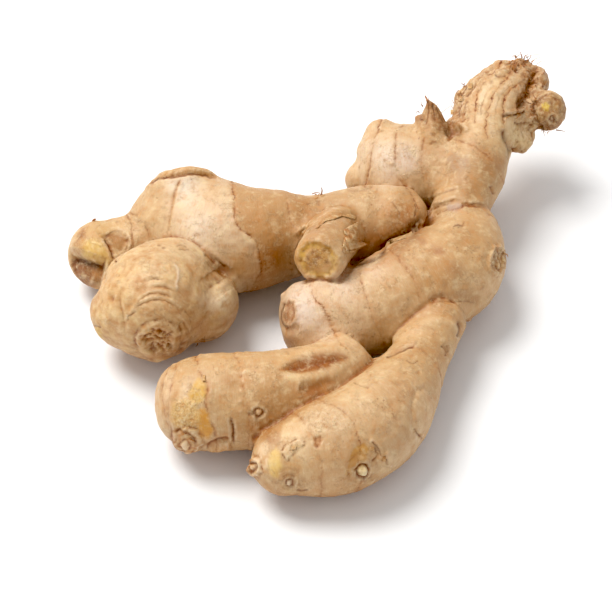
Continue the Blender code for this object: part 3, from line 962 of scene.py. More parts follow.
tint(k, np.exp(-((rr - 8.2) / 1.0) ** 2) * part, (140, 86, 44), 0.75)
ang = np.arctan2(W[k] - 342, U[k] - 158)
pith = noise(V[k], 1.9, 117) + 0.7 * noise(V[k], 0.9, 118) + 0.12 * np.sin(ang * 7 + 5 * noise(V[k], 3, 120))
DISP[k] += (1 - bump(rr, 4.2, 6.6)) * 0.65 * pith
tint(k, (1 - bump(rr, 4.4, 6.4)) * bump(-pith, 0.15, 0.6), (112, 66, 32), 0.85)
tint(k, (1 - bump(rr, 4.4, 6.6)) * bump(pith, 0.1, 0.6), (230, 186, 122), 0.75)
spot(152, 350, 5, -0.8, (84, 48, 24), 0.8); spot(170, 347, 4, -0.4, (110, 72, 44), 0.6); spot(160, 333, 3, -0.5, (100, 60, 30), 0.7)
crack([(121, 290), (119, 302), (123, 318), (125.6, 342)], 0.7, 0.6, 0.3, ends=0.3)
patch([(92, 329), (98, 327), (102, 332), (102, 339), (96, 341), (91, 336)], (236, 200, 112), 0.8, soft=0.5)
crack([(90, 329), (95, 326), (102, 328)], 0.45, 0.3, 0.6); crack([(88, 338), (94, 342), (101, 341)], 0.4, 0.3, 0.6)
spot(108, 319, 5, 0.7); spot(111.6, 299, 3.6, -0.55, (176, 122, 72), 0.6); spot(109, 292, 3, 0.25); spot(116, 296, 2.5, 0.25)
fold([(172.5, 264), (177, 268), (178, 278), (176, 284), (178, 292)], 0.5, 0.3, rgb=(246, 222, 190), much=0.55)
# pit and bulge at the right; the pit and the groove running down-left from it are darkened with painted shade
crack([(200, 296), (208, 289.5), (217, 283), (226, 277), (231, 274)], 3.2, 0.9, 0.6, rgb=(132, 80, 38), jag=0.2, halo=0.3, ends=0.5)
crack([(206, 291), (213, 285), (221, 279.5), (230, 275)], 0.9, 0.5, 0.75, rgb=(104, 58, 26), jag=0.4, ends=0.3)
spot(224, 273, 8, -0.8, (128, 76, 34), 0.7); spot(217, 278, 7, -0.3, (128, 76, 34), 0.5)
fold([(200, 246), (208, 251), (218, 257), (228, 265), (233, 270)], 0.9, 0.5, rgb=(186, 130, 80), much=0.5)
fold([(203, 292), (212, 286.5), (221, 282), (230, 278)], 2.6, 0.4)
crack([(204, 254), (210, 258), (216, 264)], 0.5, 0.3, 0.45); crack([(214, 258), (220, 263), (226, 268)], 0.4, 0.3, 0.5)
patch([(207, 262), (214, 260), (224, 265), (232, 270), (230, 274), (220, 271), (212, 270)], (158, 106, 62), 0.5, soft=1.0, mottled=0.5, mrgb=(116, 72, 38), peel=0.7,
      on="front_knob")
fold([(232, 275), (238, 284), (239.5, 300), (239, 318)], 1.0, 0.45, rgb=(236, 202, 156), much=0.4)
fold([(239, 322), (228, 330), (214, 336), (202, 341)], 1.3, 0.4, rgb=(226, 184, 134), much=0.3)
tone(222, 300, 17, (255, 232, 190), 0.85); tone(206, 302, 11, (246, 216, 176), 0.7)
crack([(178, 249), (185, 250), (190, 249)], 0.3, 0.12, 0.5); crack([(176, 247), (181, 245), (188, 247)], 0.3, 0.12, 0.35)
spot(159, 245, 2, 0.1, (120, 74, 40), 0.7); spot(163.5, 247.5, 2, 0.1, (120, 74, 40), 0.7); spot(143, 250, 2, 0, (170, 116, 66), 0.5)
crack([(200, 342), (208, 340), (216, 337)], 0.7, 0.35, 0.8, rgb=(96, 58, 34)); spot(238, 322, 2.5, -0.1, (130, 84, 52), 0.6)
crack([(184, 310), (190, 318), (193, 330)], 0.4, 0.15, 0.3); crack([(186, 332), (189, 340), (188, 348)], 0.4, 0.15, 0.3)
k = np.nonzero((fam_name == "front_knob") & (SEEN > 0))[0]
left = bump(178 - U[k], 0, 40) * SEEN[k]
wart = fbm(V[k], 3.4, 3, 161)
DISP[k] += left * (0.45 * np.maximum(0, wart - 0.02) - 0.3 * np.maximum(0, -wart - 0.1)) + SEEN[k] * 0.16 * fbm(V[k], (7, 7, 3), 3, 163)
tint(k, left * bump(wart, 0.05, 0.4), (244, 206, 146), 0.4)
tint(k, left * bump(-wart, 0.05, 0.4), (196, 136, 76), 0.45)
streak = fbm(V[k], (6.5, 6.5, 2.6), 3, 165)
tint(k, SEEN[k] * bump(streak, 0.05, 0.4), (252, 220, 162), 0.42)
tint(k, SEEN[k] * bump(-streak, 0.05, 0.4), (188, 124, 64), 0.40)
DISP[k] += SEEN[k] * 0.16 * streak
for pts in ([(128, 316), (140, 305), (156, 300), (172, 304), (184, 314)], [(132, 308), (146, 296), (162, 294), (178, 300)],
            [(150, 288), (164, 287), (176, 293)], [(124, 326), (130, 316), (138, 310)], [(176, 318), (186, 326), (190, 338)],
            [(140, 282), (152, 279), (166, 280)]):
    crack(pts, 0.4, 0.22, 0.35, rgb=(172, 112, 60), jag=0.6, ends=0.3)
    fold([(u, v - 3) for u, v in pts], 0.7, 0.22, rgb=(246, 214, 166), much=0.3)
for a, b in (((133, 262), 3), ((118, 276), 3), ((150, 275), 3), ((140, 292), 4), ((164, 281), 3), ((102, 302), 3), ((96, 312), 3),
             ((128, 308), 4), ((203, 318), 3), ((221, 330), 3), ((150, 258), 3)):
    spot(a[0], a[1], b, 0.22 if (a[0] + a[1]) % 2 else -0.22, (206, 150, 90), 0.4)

# =============================================================================
# cut nub
# =============================================================================
nub = [(296, 262), (298, 248), (307, 241), (320, 240), (332, 245), (339, 256), (340, 268), (332, 278), (318, 281), (304, 276)]
k, d, w = patch(nub, (234, 182, 118), 0.85, soft=0.7, rough=0.45, mottled=0.35, mrgb=(208, 156, 90), on="cut_nub")
tint(k, np.exp(-((d - 1.8) / 1.1) ** 2) * SEEN[k], (252, 206, 104), 0.75)
DISP[k] += SEEN[k] * (0.45 * np.exp(-((d - 0.3) / 0.8) ** 2) - 0.35 * np.exp(-((d - 2.2) / 1.0) ** 2))
patch([(303, 263), (305, 254), (312, 248), (322, 247), (331, 252), (330, 262), (322, 266), (312, 270)], (230, 180, 108), 0.65, soft=0.9, jag=1.0,
      mottled=0.7, mrgb=(164, 114, 66), peel=0.8, on="cut_nub")
for a in ((308, 259), (313, 253), (318, 258), (315, 263), (324, 251), (310, 265), (327, 262)):
    spot(a[0], a[1], 2.3, -0.3, (134, 92, 56), 0.6)
tone(330, 232, 14, (196, 148, 98), 0.65); tone(352, 228, 12, (204, 156, 104), 0.5)
crack([(299, 234), (308, 230), (316, 226), (325, 220), (335, 216), (348, 215.5), (359, 216)],
      0.7, 0.4, 0.45, rgb=(150, 96, 52), jag=0.7, halo=0.4)
fold([(292, 238), (298, 231), (308, 226.5), (316, 222), (325, 216.5), (335, 212.5), (348, 212), (360, 213)], 1.3, 0.9,
     rgb=(220, 172, 116), much=0.6)
crack([(352, 217), (356, 225), (355, 236), (349, 246)], 0.6, 0.3, 0.4, jag=0.4, halo=0.3)
fold([(301, 236), (296, 245), (293.5, 258), (296, 270), (303, 279)], 0.6, 0.25, rgb=(206, 160, 112), much=0.4)
for y0 in (251, 257, 263, 269, 275):
    crack([(289 + abs(y0 - 263) * 0.1, y0), (294, y0 + 1)], 0.3, 0.12, 0.35, ends=0.3)

nk = np.nonzero(fam_name == "cut_nub")[0]
DISP[nk] += 0.45 * fbm(V[nk], 7, 2, 231) + 0.15 * fbm(V[nk], 2.6, 2, 233)
tint(nk, bump(fbm(V[nk], 5, 2, 235), 0.05, 0.5), (206, 154, 98), 0.4)

# =============================================================================
# main body
# =============================================================================
tone(304, 312, 24, (252, 233, 212), 0.7); tone(320, 330, 18, (246, 216, 180), 0.6); tone(300, 288, 14, (246, 222, 194), 0.6)
tone(345, 300, 24, (238, 204, 164), 0.7); tone(360, 320, 20, (236, 200, 158), 0.6); tone(340, 280, 14, (246, 222, 194), 0.6)
tone(372, 268, 16, (244, 214, 182), 0.6); tone(395, 285, 20, (226, 186, 140), 0.6); tone(400, 310, 22, (222, 182, 136), 0.6)
tone(425, 250, 18, (228, 190, 144), 0.55); tone(430, 275, 22, (206, 158, 106), 0.7); tone(445, 262, 16, (212, 164, 112), 0.5)
tone(467, 233, 18, (190, 142, 92), 0.7); tone(480, 222, 14, (226, 184, 136), 0.5); tone(485, 260, 14, (212, 168, 118), 0.5)
tone(470, 290, 18, (222, 180, 132), 0.5); tone(485, 284, 12, (242, 204, 158), 0.6); tone(440, 300, 14, (208, 160, 112), 0.5); tone(458, 318, 12, (204, 156, 108), 0.5)
# painted shadow: near-black line in the gap between the arm's edge and the body
crack([(352, 264), (364, 262), (376, 258), (384, 250), (389, 242), (400, 235), (414, 226), (426, 212)], 1.3, 0.6, 0.95, rgb=(44, 22, 10), jag=0.3, ends=0.1)
fold([(384, 252), (390, 243), (398, 240), (407, 236.5), (414, 231)], 1.0, 0.6, rgb=(238, 202, 156), much=0.5)
crack([(386, 246), (392, 241.5), (399, 240.5), (408, 238)], 0.4, 0.3, 0.5, rgb=(150, 96, 52), jag=0.7)
E1 = [(310, 284.5), (314, 298), (322.4, 307), (326.4, 314), (332, 330), (341, 343.4), (349, 353)]
k, t, f = ring("main_body", E1, lip=0.1, groove=0.15, jag=0.55, line=0.65, stain=0.3, step=0.35, rgb=(222, 150, 92))
sgn = 1.0 if np.mean(t[U[k] > 345]) > 0 else -1.0       # which way is the tan side
tan_side = sgn * t
tint(k, bump(tan_side, 0.0, 0.7) * (1 - bump(tan_side, 2, 10)) * f * SEEN[k], (232, 194, 150), 0.5)
tint(k, bump(-tan_side, 0.2, 0.9) * (1 - bump(-tan_side, 2, 8)) * f * SEEN[k], (248, 220, 184), 0.3)
ring("main_body", [(351, 258), (356, 263), (361, 280.5), (366.6, 298), (372, 316.6), (378.7, 331), (384, 341)], lip=0.15, groove=0.15, line=0.4,
     stain=0.3, rgb=(212, 156, 104), step=0.1)
ring("main_body", [(392, 250), (398.6, 259), (408, 270), (416, 284.6), (419, 296), (420, 306)], lip=0.15, groove=0.2, line=0.5, stain=0.35, step=0.2, jag=0.6)
ring("main_body", [(432, 217.6), (441.6, 211), (457.6, 208), (465.6, 205), (483, 208), (491, 216)], lip=0.25, groove=0.5, line=0.8, stain=0.45, jag=0.4)
for y0, x1 in ((303, 316), (306, 318), (309, 319.5), (312, 321), (315, 323), (319, 325), (324, 327)):       # fringe of torn skin
    crack([(x1, y0), (x1 + 5, y0 + 1.5), (x1 + 9, y0 + 2)], 0.3, 0.08, 0.5, rgb=(224, 156, 98), ends=0.4)
patch([(447, 205), (457, 203.5), (466, 203), (464, 208), (455, 211), (447, 211)], (196, 180, 172), 0.6, soft=0.6)
crack([(453, 227.5), (457, 224.5), (462, 225.5), (465, 221)], 0.35, 0.2, 0.75); crack([(456, 224), (459, 228)], 0.3, 0.15, 0.5)
patch([(434, 249), (441, 247.5), (445, 251), (441, 254.5), (435, 253)], (166, 108, 70), 0.5, soft=0.8)
patch([(418, 239), (425, 239), (427, 244), (420, 245)], (176, 118, 76), 0.5, soft=0.8)
patch([(430, 243), (443, 246), (449, 252), (438, 256), (426, 250)], (196, 142, 96), 0.35, soft=1.5)
tone(456, 268.6, 9, (150, 100, 62), 0.5); spot(446, 285, 4, -0.2, (180, 130, 84), 0.4)
fold([(427, 304), (440, 299), (458, 297.5), (472, 299), (482, 303)], 2.2, -0.7, rgb=(186, 138, 94), much=0.5)
crack([(427, 304), (441, 300), (455, 301), (468, 302), (480, 305)], 0.35, 0.15, 0.4, ends=0.3)
spot(469, 319, 3.4, 0.9, (150, 84, 52), 0.85); spot(482, 288, 2, 0.2, (170, 110, 66), 0.6)
crack([(458, 320), (461, 328), (459, 338)], 0.6, 0.3, 0.6)
# corky round scar at the right
cork = [(494, 248), (500, 246), (505, 251), (506.5, 260), (504, 269), (498, 274), (492, 273), (489, 266), (489.5, 256)]
k, d, w = patch(cork, (206, 160, 104), 0.8, soft=0.7, jag=0.6, peel=1.0, mottled=0.7, mrgb=(150, 98, 52))
DISP[k] += SEEN[k] * (0.7 * np.exp(-((d - 0.2) / 0.7) ** 2) - 0.5 * bump(d, 0.8, 2.0) + 0.6 * bump(d, 0.5, 1.5) * noise(V[k], 1.5, 121))
for a in ((496, 254), (501, 252), (494, 262), (499, 266), (503, 260)):
    spot(a[0], a[1], 2.4, 0.45, (246, 218, 164), 0.85)
# end face with its scar
tone(292, 335, 13, (222, 178, 138), 0.5)
oval = [(284, 303), (289, 299), (295, 301), (297, 310), (296, 319), (291, 326), (284, 326), (281, 316)]
k, d, w = patch(oval, (196, 146, 108), 0.8, soft=0.7, jag=0.4, peel=0.6, mottled=0.5, mrgb=(160, 106, 70))
DISP[k] += SEEN[k] * (0.35 * np.exp(-((d - 0.1) / 0.6) ** 2) - 0.4 * bump(d, 0.5, 1.5))
crack([(286, 302), (282, 310), (281, 318), (284, 326), (288, 329)], 0.5, 0.5, 0.8, rgb=(128, 78, 46))
spot(280.5, 295, 3.4, 0.9, (246, 216, 188), 0.8)
fold([(283, 331), (291, 328), (300, 329)], 1.6, -0.6, rgb=(196, 146, 106), much=0.5)
# painted shade: browner below the crease on the end face
tone(291, 343, 8, (176, 122, 80), 0.5)

# =============================================================================
# neck and upper lobe
# =============================================================================
tone(380, 155, 22, (250, 226, 194), 0.85); tone(388, 175, 14, (248, 222, 188), 0.7); tone(361, 165, 14, (248, 216, 172), 0.8)
tone(380, 130, 14, (238, 202, 154), 0.5); tone(408, 160, 16, (252, 229, 202), 0.75); tone(412, 185, 14, (228, 192, 150), 0.5)
tone(437, 160, 20, (206, 164, 120), 0.6); tone(455, 175, 22, (204, 160, 114), 0.6); tone(440, 190, 14, (222, 182, 134), 0.6)
tone(485, 165, 16, (176, 128, 84), 0.65); tone(470, 190, 15, (176, 126, 76), 0.72); tone(430, 145, 12, (220, 180, 132), 0.5)
tone(350, 185, 10, (232, 196, 150), 0.5)
ring("upper_lobe", [(379.5, 128), (374, 138.6), (371.4, 152), (369.6, 165.4), (367, 176), (365, 187.7)], lip=0.25, groove=0.35, line=0.6, stain=0.4, jag=0.4)
ring("upper_lobe", [(395.5, 127), (395.5, 143), (395, 161), (395.5, 170.7), (398, 178), (402.7, 184), (409.8, 191), (415, 200), (419.6, 210)],
     lip=0.15, groove=0.25, line=0.75, stain=0.4, step=0.25)
ring("upper_lobe", [(424, 136), (421.9, 152), (421.4, 165.4), (423.2, 178.8), (426, 192)], lip=0.1, groove=0.18, line=0.45, stain=0.3, step=0.15)
ring("neck", [(448, 138), (456, 140), (473.5, 146), (489.5, 158.6), (499, 174.5)], lip=0.1, groove=0.2, line=0.5, stain=0.3, step=0.2)
patch([(470, 139), (480, 143), (492, 150), (502, 160), (503, 176), (499, 174), (490, 159), (474, 146), (462, 141)], (190, 140, 94), 0.5, soft=1.0)
patch([(447, 158), (455, 153), (466, 157), (470, 166), (460, 171), (448, 168)], (176, 148, 124), 0.45, soft=1.4, jag=1.2)
patch([(400, 150), (408, 146), (414, 152), (411, 160), (403, 158)], (200, 168, 140), 0.35, soft=1.4, jag=1.0)
crack([(490.5, 186), (492, 190), (494, 195)], 0.5, 0.35, 0.85, rgb=(96, 58, 30)); spot(391.8, 163.6, 3, 0.5, (168, 108, 62), 0.75)
spot(385, 160, 1.8, 0.1, (180, 120, 70), 0.5); spot(359, 167, 1.8, 0.1, (170, 110, 62), 0.7); spot(364, 162.7, 1.6, 0.1, (170, 110, 62), 0.6)
spot(352, 178, 2, 0.2, (190, 134, 84), 0.5)
for a, b in (([(427.7, 200), (439, 192), (450, 187.7), (462, 186)], 0.35), ([(429.5, 203.8), (445.5, 200), (458, 196)], 0.35),
             ([(430, 208), (440, 204.5), (452, 201)], 0.3), ([(468, 203), (476, 201), (486, 204)], 0.25)):
    fold(a, 0.8, b); crack([(u, v + 2.2) for u, v in a], 0.35, 0.15, 0.35, ends=0.3)
fold([(346.4, 191), (360.7, 189.5), (375, 185.4)], 0.7, -0.3, rgb=(150, 100, 60), much=0.4)
crack([(427, 168), (437, 172), (447, 176), (458, 180)], 0.3, 0.05, 0.2, ends=0.4); crack([(473, 178), (486, 181), (497, 184)], 0.3, 0.08, 0.2, ends=0.4)
# sprout
tone(433, 120, 14, (196, 144, 92), 0.6); tone(441, 118, 9, (150, 98, 54), 0.7); tone(446, 128, 7, (120, 72, 36), 0.7)
tone(428, 104, 6, (150, 94, 50), 0.6); tone(419, 117, 6, (160, 108, 62), 0.6)
k = np.nonzero((fam_name == "sprout") & (SEEN > 0))[0]
DISP[k] += 0.5 * fbm(V[k], 2.6, 3, 171) * bump(V[k, 2] - PLACE[2], 31, 35)
tint(k, bump(fbm(V[k], 2.2, 2, 173), 0.05, 0.4) * bump(V[k, 2] - PLACE[2], 31, 36), (140, 88, 46), 0.6)
for a in ([(428, 97), (429, 108), (427, 120), (424, 130)], [(431, 101), (434, 112), (436, 124)], [(434, 104), (439, 114), (445, 126)],
          [(418, 118), (424, 121), (428, 126)]):
    crack(a, 0.35, 0.25, 0.6, ends=0.3)
# painted shade: dark dents and tone in the hollow under the head's overhang, beside the sprout
spot(456, 130, 6.5, -2.4, (84, 46, 22), 0.85); spot(449, 133, 4, -1.4, (70, 38, 18), 0.8); tone(459, 131, 5.5, (112, 64, 30), 0.75)
fold([(452, 124), (458, 123), (465, 127), (467, 132)], 1.0, 0.8, rgb=(206, 152, 98), much=0.5)

# =============================================================================
# head
# =============================================================================
tone(490, 100, 26, (250, 216, 166), 0.8); tone(470, 110, 16, (246, 208, 158), 0.7); tone(512, 100, 14, (234, 196, 148), 0.55)
tone(475, 128, 14, (224, 184, 136), 0.5); tone(535, 75, 14, (206, 150, 98), 0.6)
tone(515, 66, 10, (204, 146, 92), 0.6); tone(500, 66, 8, (228, 184, 130), 0.5); tone(455, 118, 9, (206, 150, 94), 0.55)
for pts, g, st in (([(490, 77), (479.5, 88.5), (476.5, 99), (475, 112), (475, 124)], 0.10, 0.2),
                   ([(508, 76.5), (496, 91.5), (488.5, 109.5), (486, 126), (489, 140)], 0.16, 0.3),
                   ([(526, 79.5), (511, 90), (504, 100.5), (503.5, 117), (505, 136)], 0.20, 0.35),
                   ([(531, 84.3), (524, 93), (519.4, 103), (518, 112)], 0.16, 0.25)):
    k, t, f = ring("head", pts, lip=0.06, groove=0.6 * g, jag=0.7, line=1.3, stain=0.4, step=0.6 * st, rgb=(184, 116, 58))
    tint(k, bump(t, 0.3, 1.2) * (1 - bump(t, 1.5, 4.0)) * f * SEEN[k], (246, 218, 178), 0.4)
for pts in ([(499, 80), (488, 92), (482, 106), (480, 120)], [(517, 80), (504, 92), (497, 106), (495, 122)]):
    crack(pts, 0.35, 0.08, 0.3, rgb=(204, 146, 90), jag=0.5, ends=0.3)
ring("head", [(472, 88), (465, 98), (461, 110), (462, 122)], lip=0.2, groove=0.15, jag=0.7, line=0.5, stain=0.4)
# bark: rough and warty down the left edge and over the right half
hk = np.nonzero(((fam_name == "head") | (fam_name == "neck")) & (SEEN > 0) & (W < 158))[0]
edge = bump(np.hypot((U[hk] - 500) * 1.0, (W[hk] - 116) * 0.8), 27, 37) * (U[hk] < 500) * (1 - bump(W[hk], 122, 134))
right = bump(U[hk] + 0.12 * (W[hk] - 80), 514, 524) * (1 - bump(U[hk], 543, 549) * bump(W[hk], 90, 98))
crown = (1 - bump(W[hk], 68, 78)) * bump(U[hk], 490, 500)
rough_w = np.clip(edge + right + 0.8 * crown, 0, 1)
b1, b2, b3 = fbm(V[hk], (4.2, 4.2, 4.2), 2, 181), fbm(V[hk], 2.0, 2, 183), noise(V[hk], 1.2, 185)
DISP[hk] += rough_w * (0.9 * b1 + 0.55 * np.abs(b2) + 0.2 * b3 - 0.15)
tint(hk, rough_w * bump(-b1 - 0.6 * b2, 0.05, 0.55), (150, 92, 46), 0.6)
tint(hk, rough_w * bump(b1 + 0.6 * b2, 0.1, 0.5), (236, 190, 138), 0.45)
tint(hk, rough_w * bump(b3, 0.25, 0.6), (184, 118, 62), 0.5)
PEEL[hk] = np.maximum(PEEL[hk], 0.7 * rough_w)
# outline lumps and flaps
for u, v, r, h in ((501, 64, 7, 0.9), (489, 73, 4, -1.0), (483, 73.5, 4, 0.7), (469, 77.5, 4, 0.8), (466, 83, 3, -0.6), (457, 94, 5, 0.6), (455, 101, 3, -0.5),
                   (452, 108, 4, 0.5), (448, 120, 5, 0.6), (450, 113, 2.5, -0.5), (541, 73, 7, 0.5), (529, 64, 5, 0.4), (536, 91, 5, 0.8), (549, 92, 3, -0.4)):
    spot(u, v, r, h)
crack([(474, 84), (471, 90), (466, 98)], 0.55, 0.7, 0.8, rgb=(126, 74, 36)); crack([(467, 85), (463, 92), (457, 99)], 0.5, 0.6, 0.75, rgb=(126, 74, 36))
fold([(476.5, 85), (473.5, 91), (469, 99)], 0.7, 0.4, rgb=(232, 190, 140), much=0.5)
crack([(494, 74), (500, 76.5), (507, 75)], 0.5, 0.5, 0.7, rgb=(140, 84, 44)); crack([(462, 104), (459, 111), (458, 118)], 0.5, 0.5, 0.6, rgb=(140, 84, 44))
crack([(468, 100), (465, 108), (464, 116)], 0.4, 0.3, 0.5, rgb=(160, 100, 54)); crack([(470, 104), (477, 106), (484, 104)], 0.25, 0.1, 0.25)
for u, v in ((467.7, 106.6), (468.6, 118), (463, 113), (466, 95), (470, 112), (491, 83)):
    spot(u, v, 1.7, 0.12, (160, 98, 52), 0.65)
spot(516.2, 70, 4.0, -1.8, (84, 48, 24), 0.9); spot(523.8, 64, 3.0, -1.2, (90, 52, 28), 0.8); spot(510, 73, 3, -0.6, (130, 82, 46), 0.6)
crack([(537, 66), (534.5, 75), (532, 82), (529, 91), (525, 97), (522.5, 104), (522, 112)], 1.1, 1.7, 0.9, rgb=(104, 58, 28), jag=0.7, halo=0.6)
spot(523, 103, 4.5, -1.4, (70, 36, 18), 0.9); spot(534.6, 91.4, 4.0, -0.9, (120, 74, 42), 0.6)
spot(534, 89.5, 4.0, 0.7, (226, 176, 124), 0.6); spot(529, 107, 4.5, 0.5, (196, 136, 86), 0.5); spot(531, 117, 5, 0.6, (206, 150, 104), 0.5)
# the ledge over the lower bump; the dark line under it is a painted shadow
crack([(503.5, 118.5), (505, 116), (514, 115), (523, 113), (526, 111)], 0.4, 0.6, 0.75, rgb=(120, 70, 38), jag=0.5)
fold([(502, 116), (505, 113), (514, 111.8), (522, 110), (527, 108)], 0.8, 0.5, rgb=(196, 132, 76), much=0.5)
# round knob
kk = np.nonzero((fam_name == "head") & (np.hypot(U - 549, W - 111) < 25) & (SEEN > 0))[0]
r0 = np.hypot(U[kk] - 549, W[kk] - 111)
onk = 1 - bump(r0, 16.5, 19)
rimk = bump(r0, 9.5, 15.5) * onk
n1, n2 = fbm(V[kk], 3.0, 3, 191), noise(V[kk], 1.3, 193)
DISP[kk] += onk * (0.35 * n1 + 0.10 * n2) + rimk * 0.25 * np.abs(n2)
tint(kk, onk, (178, 134, 82), 0.75)
tint(kk, onk * bump(n1, 0.05, 0.45), (168, 130, 96), 0.6)
tint(kk, onk * bump(-n1, 0.1, 0.5), (222, 178, 120), 0.5)
tint(kk, rimk * bump(-n1 - 0.5 * n2, -0.1, 0.4), (130, 78, 38), 0.6)
# painted shade: the knob's lower part darker
tint(kk, onk * bump(W[kk], 119, 129), (150, 98, 54), 0.55)
PEEL[kk] = np.maximum(PEEL[kk], 0.5 * onk)
patch([(541, 104), (546, 102.5), (549, 106), (548.5, 111.5), (544.5, 111.5), (542, 108)], (240, 206, 84), 0.95, soft=0.35, jag=0.3, rough=0.45, on="head")
scar(552.3, 118.6, 2.3, (96, 58, 30), (176, 130, 90), deep=0.4, swell=0.25, width=0.35)
for u, v in ((546, 95), (556, 99), (561, 112), (540, 99), (551, 103), (557, 122)):
    spot(u, v, 1.9, -0.35, (116, 70, 38), 0.7)
crack([(535, 99), (532.5, 107), (534, 117), (539, 126), (545, 131)], 0.8, 1.2, 0.8, rgb=(110, 64, 32), jag=0.5)
crack([(536, 129), (545, 131), (555, 130.5), (561, 129)], 0.8, 0.4, 0.8, rgb=(120, 70, 36), jag=0.4)
# lower bump: smooth, with two small nubs; its pale tones are partly its own pinkish-beige colour and partly a painted
# highlight, and the crease at its left is darkened with painted shade
tone(521, 138, 13, (255, 222, 164), 0.95); tone(524, 133, 6, (255, 226, 184), 0.7)
spot(523, 151.5, 3.2, 0.4, (190, 126, 82), 0.7); spot(533.5, 141, 2.6, 0.3, (190, 126, 82), 0.6)
crack([(503.5, 128), (505, 137), (508, 144), (511, 151), (512, 157)], 0.9, 1.1, 0.9, rgb=(84, 46, 24))
crack([(514, 122), (519, 124), (527, 123), (533, 127)], 0.6, 0.5, 0.5, rgb=(140, 88, 50)); crack([(529, 128), (532, 134), (531, 142)], 0.5, 0.3, 0.4)

# =============================================================================
# lower left finger
# =============================================================================
# painted shade: the darker tones at (275, 399), (235, 420) and (268, 434) on the finger's front face
tone(250, 375, 30, (224, 182, 134), 0.6); tone(275, 399, 24, (196, 146, 92), 0.65); tone(235, 420, 26, (210, 164, 112), 0.6)
tone(220, 370, 18, (228, 188, 138), 0.6); tone(230, 381, 12, (186, 136, 82), 0.62); tone(300, 388, 22, (204, 152, 98), 0.55); tone(172, 396, 14, (244, 208, 166), 0.75)
tone(190, 372, 12, (204, 158, 104), 0.5); tone(268, 434, 16, (176, 118, 64), 0.75); tone(180, 425, 12, (232, 196, 152), 0.5)
F1 = [(234, 354.6), (239.4, 361), (243, 367.4), (240.7, 375), (243, 386.5), (247, 399), (249, 412)]
ring("lower_left_finger", F1, lip=0.2, groove=0.2, line=0.45, stain=0.35, jag=0.6, rgb=(206, 148, 92))
F2 = [(196, 366), (199.8, 372.5), (206, 381), (207.5, 393), (205, 404), (208.8, 416), (213.9, 430), (216, 438)]
ring("lower_left_finger", F2, lip=0.2, groove=0.3, line=0.75, stain=0.45, step=0.2, jag=0.5)
F3 = [(177, 362), (174, 372), (170.5, 386), (168, 400), (168, 414)]
ring("lower_left_finger", F3, lip=0.3, groove=0.4, line=0.8, stain=0.55, jag=0.5)
ring("lower_left_finger", [(166, 372), (162, 384), (161, 398), (164, 412)], lip=0.2, groove=0.3, line=0.6, stain=0.45, jag=0.4)
patch([(176, 372), (173, 386), (170, 402), (172, 416), (177, 424), (178, 404), (181, 386), (184, 372)], (220, 170, 110), 0.5, soft=0.8)
patch([(193, 384), (199, 378), (205, 383), (206, 396), (200, 404), (192, 402), (188, 394)], (236, 188, 98), 0.88, soft=0.9, rough=0.5, mottled=0.3, mrgb=(222, 166, 88))
patch([(194, 412), (202, 407), (208, 414), (213, 430), (209, 440), (200, 438), (196, 424)], (236, 174, 84), 0.95, soft=0.8, rough=0.5, mottled=0.35,
      mrgb=(222, 158, 78))
k, d, w = patch([(173, 404), (184, 398), (197, 402), (199, 416), (198, 430), (188, 433), (176, 426), (171, 416)], (248, 206, 136), 0.8, soft=1.0, peel=1.0,
                mottled=0.6, mrgb=(222, 168, 104))
DISP[k] += w * (0.45 * fbm(V[k], 2.2, 3, 131) + 0.15)
scar(186, 442, 9.5, (186, 128, 72), (236, 190, 132), deep=0.3, swell=0.7, width=0.8)
scar(186, 442, 5.0, (170, 114, 62), (246, 212, 164), deep=0.3, swell=0.5, width=0.5)
bk = np.nonzero((np.hypot(U - 186, W - 442) < 16) & (SEEN > 0))[0]
DISP[bk] += (1 - bump(np.hypot(U[bk] - 186, W[bk] - 442), 9, 16)) * SEEN[bk] * (0.35 * fbm(V[bk], 2.0, 2, 201) + 0.8)
tint(bk, (1 - bump(np.hypot(U[bk] - 186, W[bk] - 442), 9, 15)) * bump(noise(V[bk], 1.8, 203), 0.0, 0.4), (206, 134, 66), 0.6)
spot(184, 449, 2.5, -0.5, (130, 80, 46), 0.7); spot(180, 445, 2.0, -0.4, (120, 74, 42), 0.7)
crack([(175, 431), (183, 430), (191, 434), (197, 443)], 0.55, 0.5, 0.55, rgb=(160, 104, 56))
crack([(230.4, 415), (231.4, 422), (233.4, 430), (233.2, 438), (235.5, 447)], 0.45, 0.8, 0.9, rgb=(84, 46, 20), jag=0.45, ends=0.3, halo=0.2)
crack([(231, 419), (232.8, 427), (233.2, 436), (235, 444)], 0.25, 0.2, 0.9, rgb=(54, 28, 12), jag=0.3, ends=0.35)
fold([(227.5, 414), (228.5, 428), (230.5, 442)], 1.4, 0.2)
crack([(206, 448), (212, 443.5), (220, 440), (231, 438.5)], 0.7, 1.0, 0.8, rgb=(150, 92, 46), halo=0.4)
fold([(207, 452.5), (216, 449), (224, 445.5), (231, 444)], 1.6, 0.9, rgb=(232, 180, 120), much=0.5)
crack([(204, 452), (213, 456), (225, 454)], 0.6, 0.5, 0.6)
scar(258.8, 412.3, 4.2, (84, 46, 20), (214, 160, 100), deep=0.7, swell=0.2, width=0.42)
spot(251.5, 413.5, 2.8, -0.4, (104, 62, 32), 0.75); spot(257, 418.5, 2.0, -0.2, (90, 52, 26), 0.6)
for y0 in range(366, 412, 5):
    spot(242.5 + 2.2 * math.sin(y0 * 0.7), y0, 2.0, 0.22 if y0 % 2 else -0.2, (214, 158, 104), 0.45)
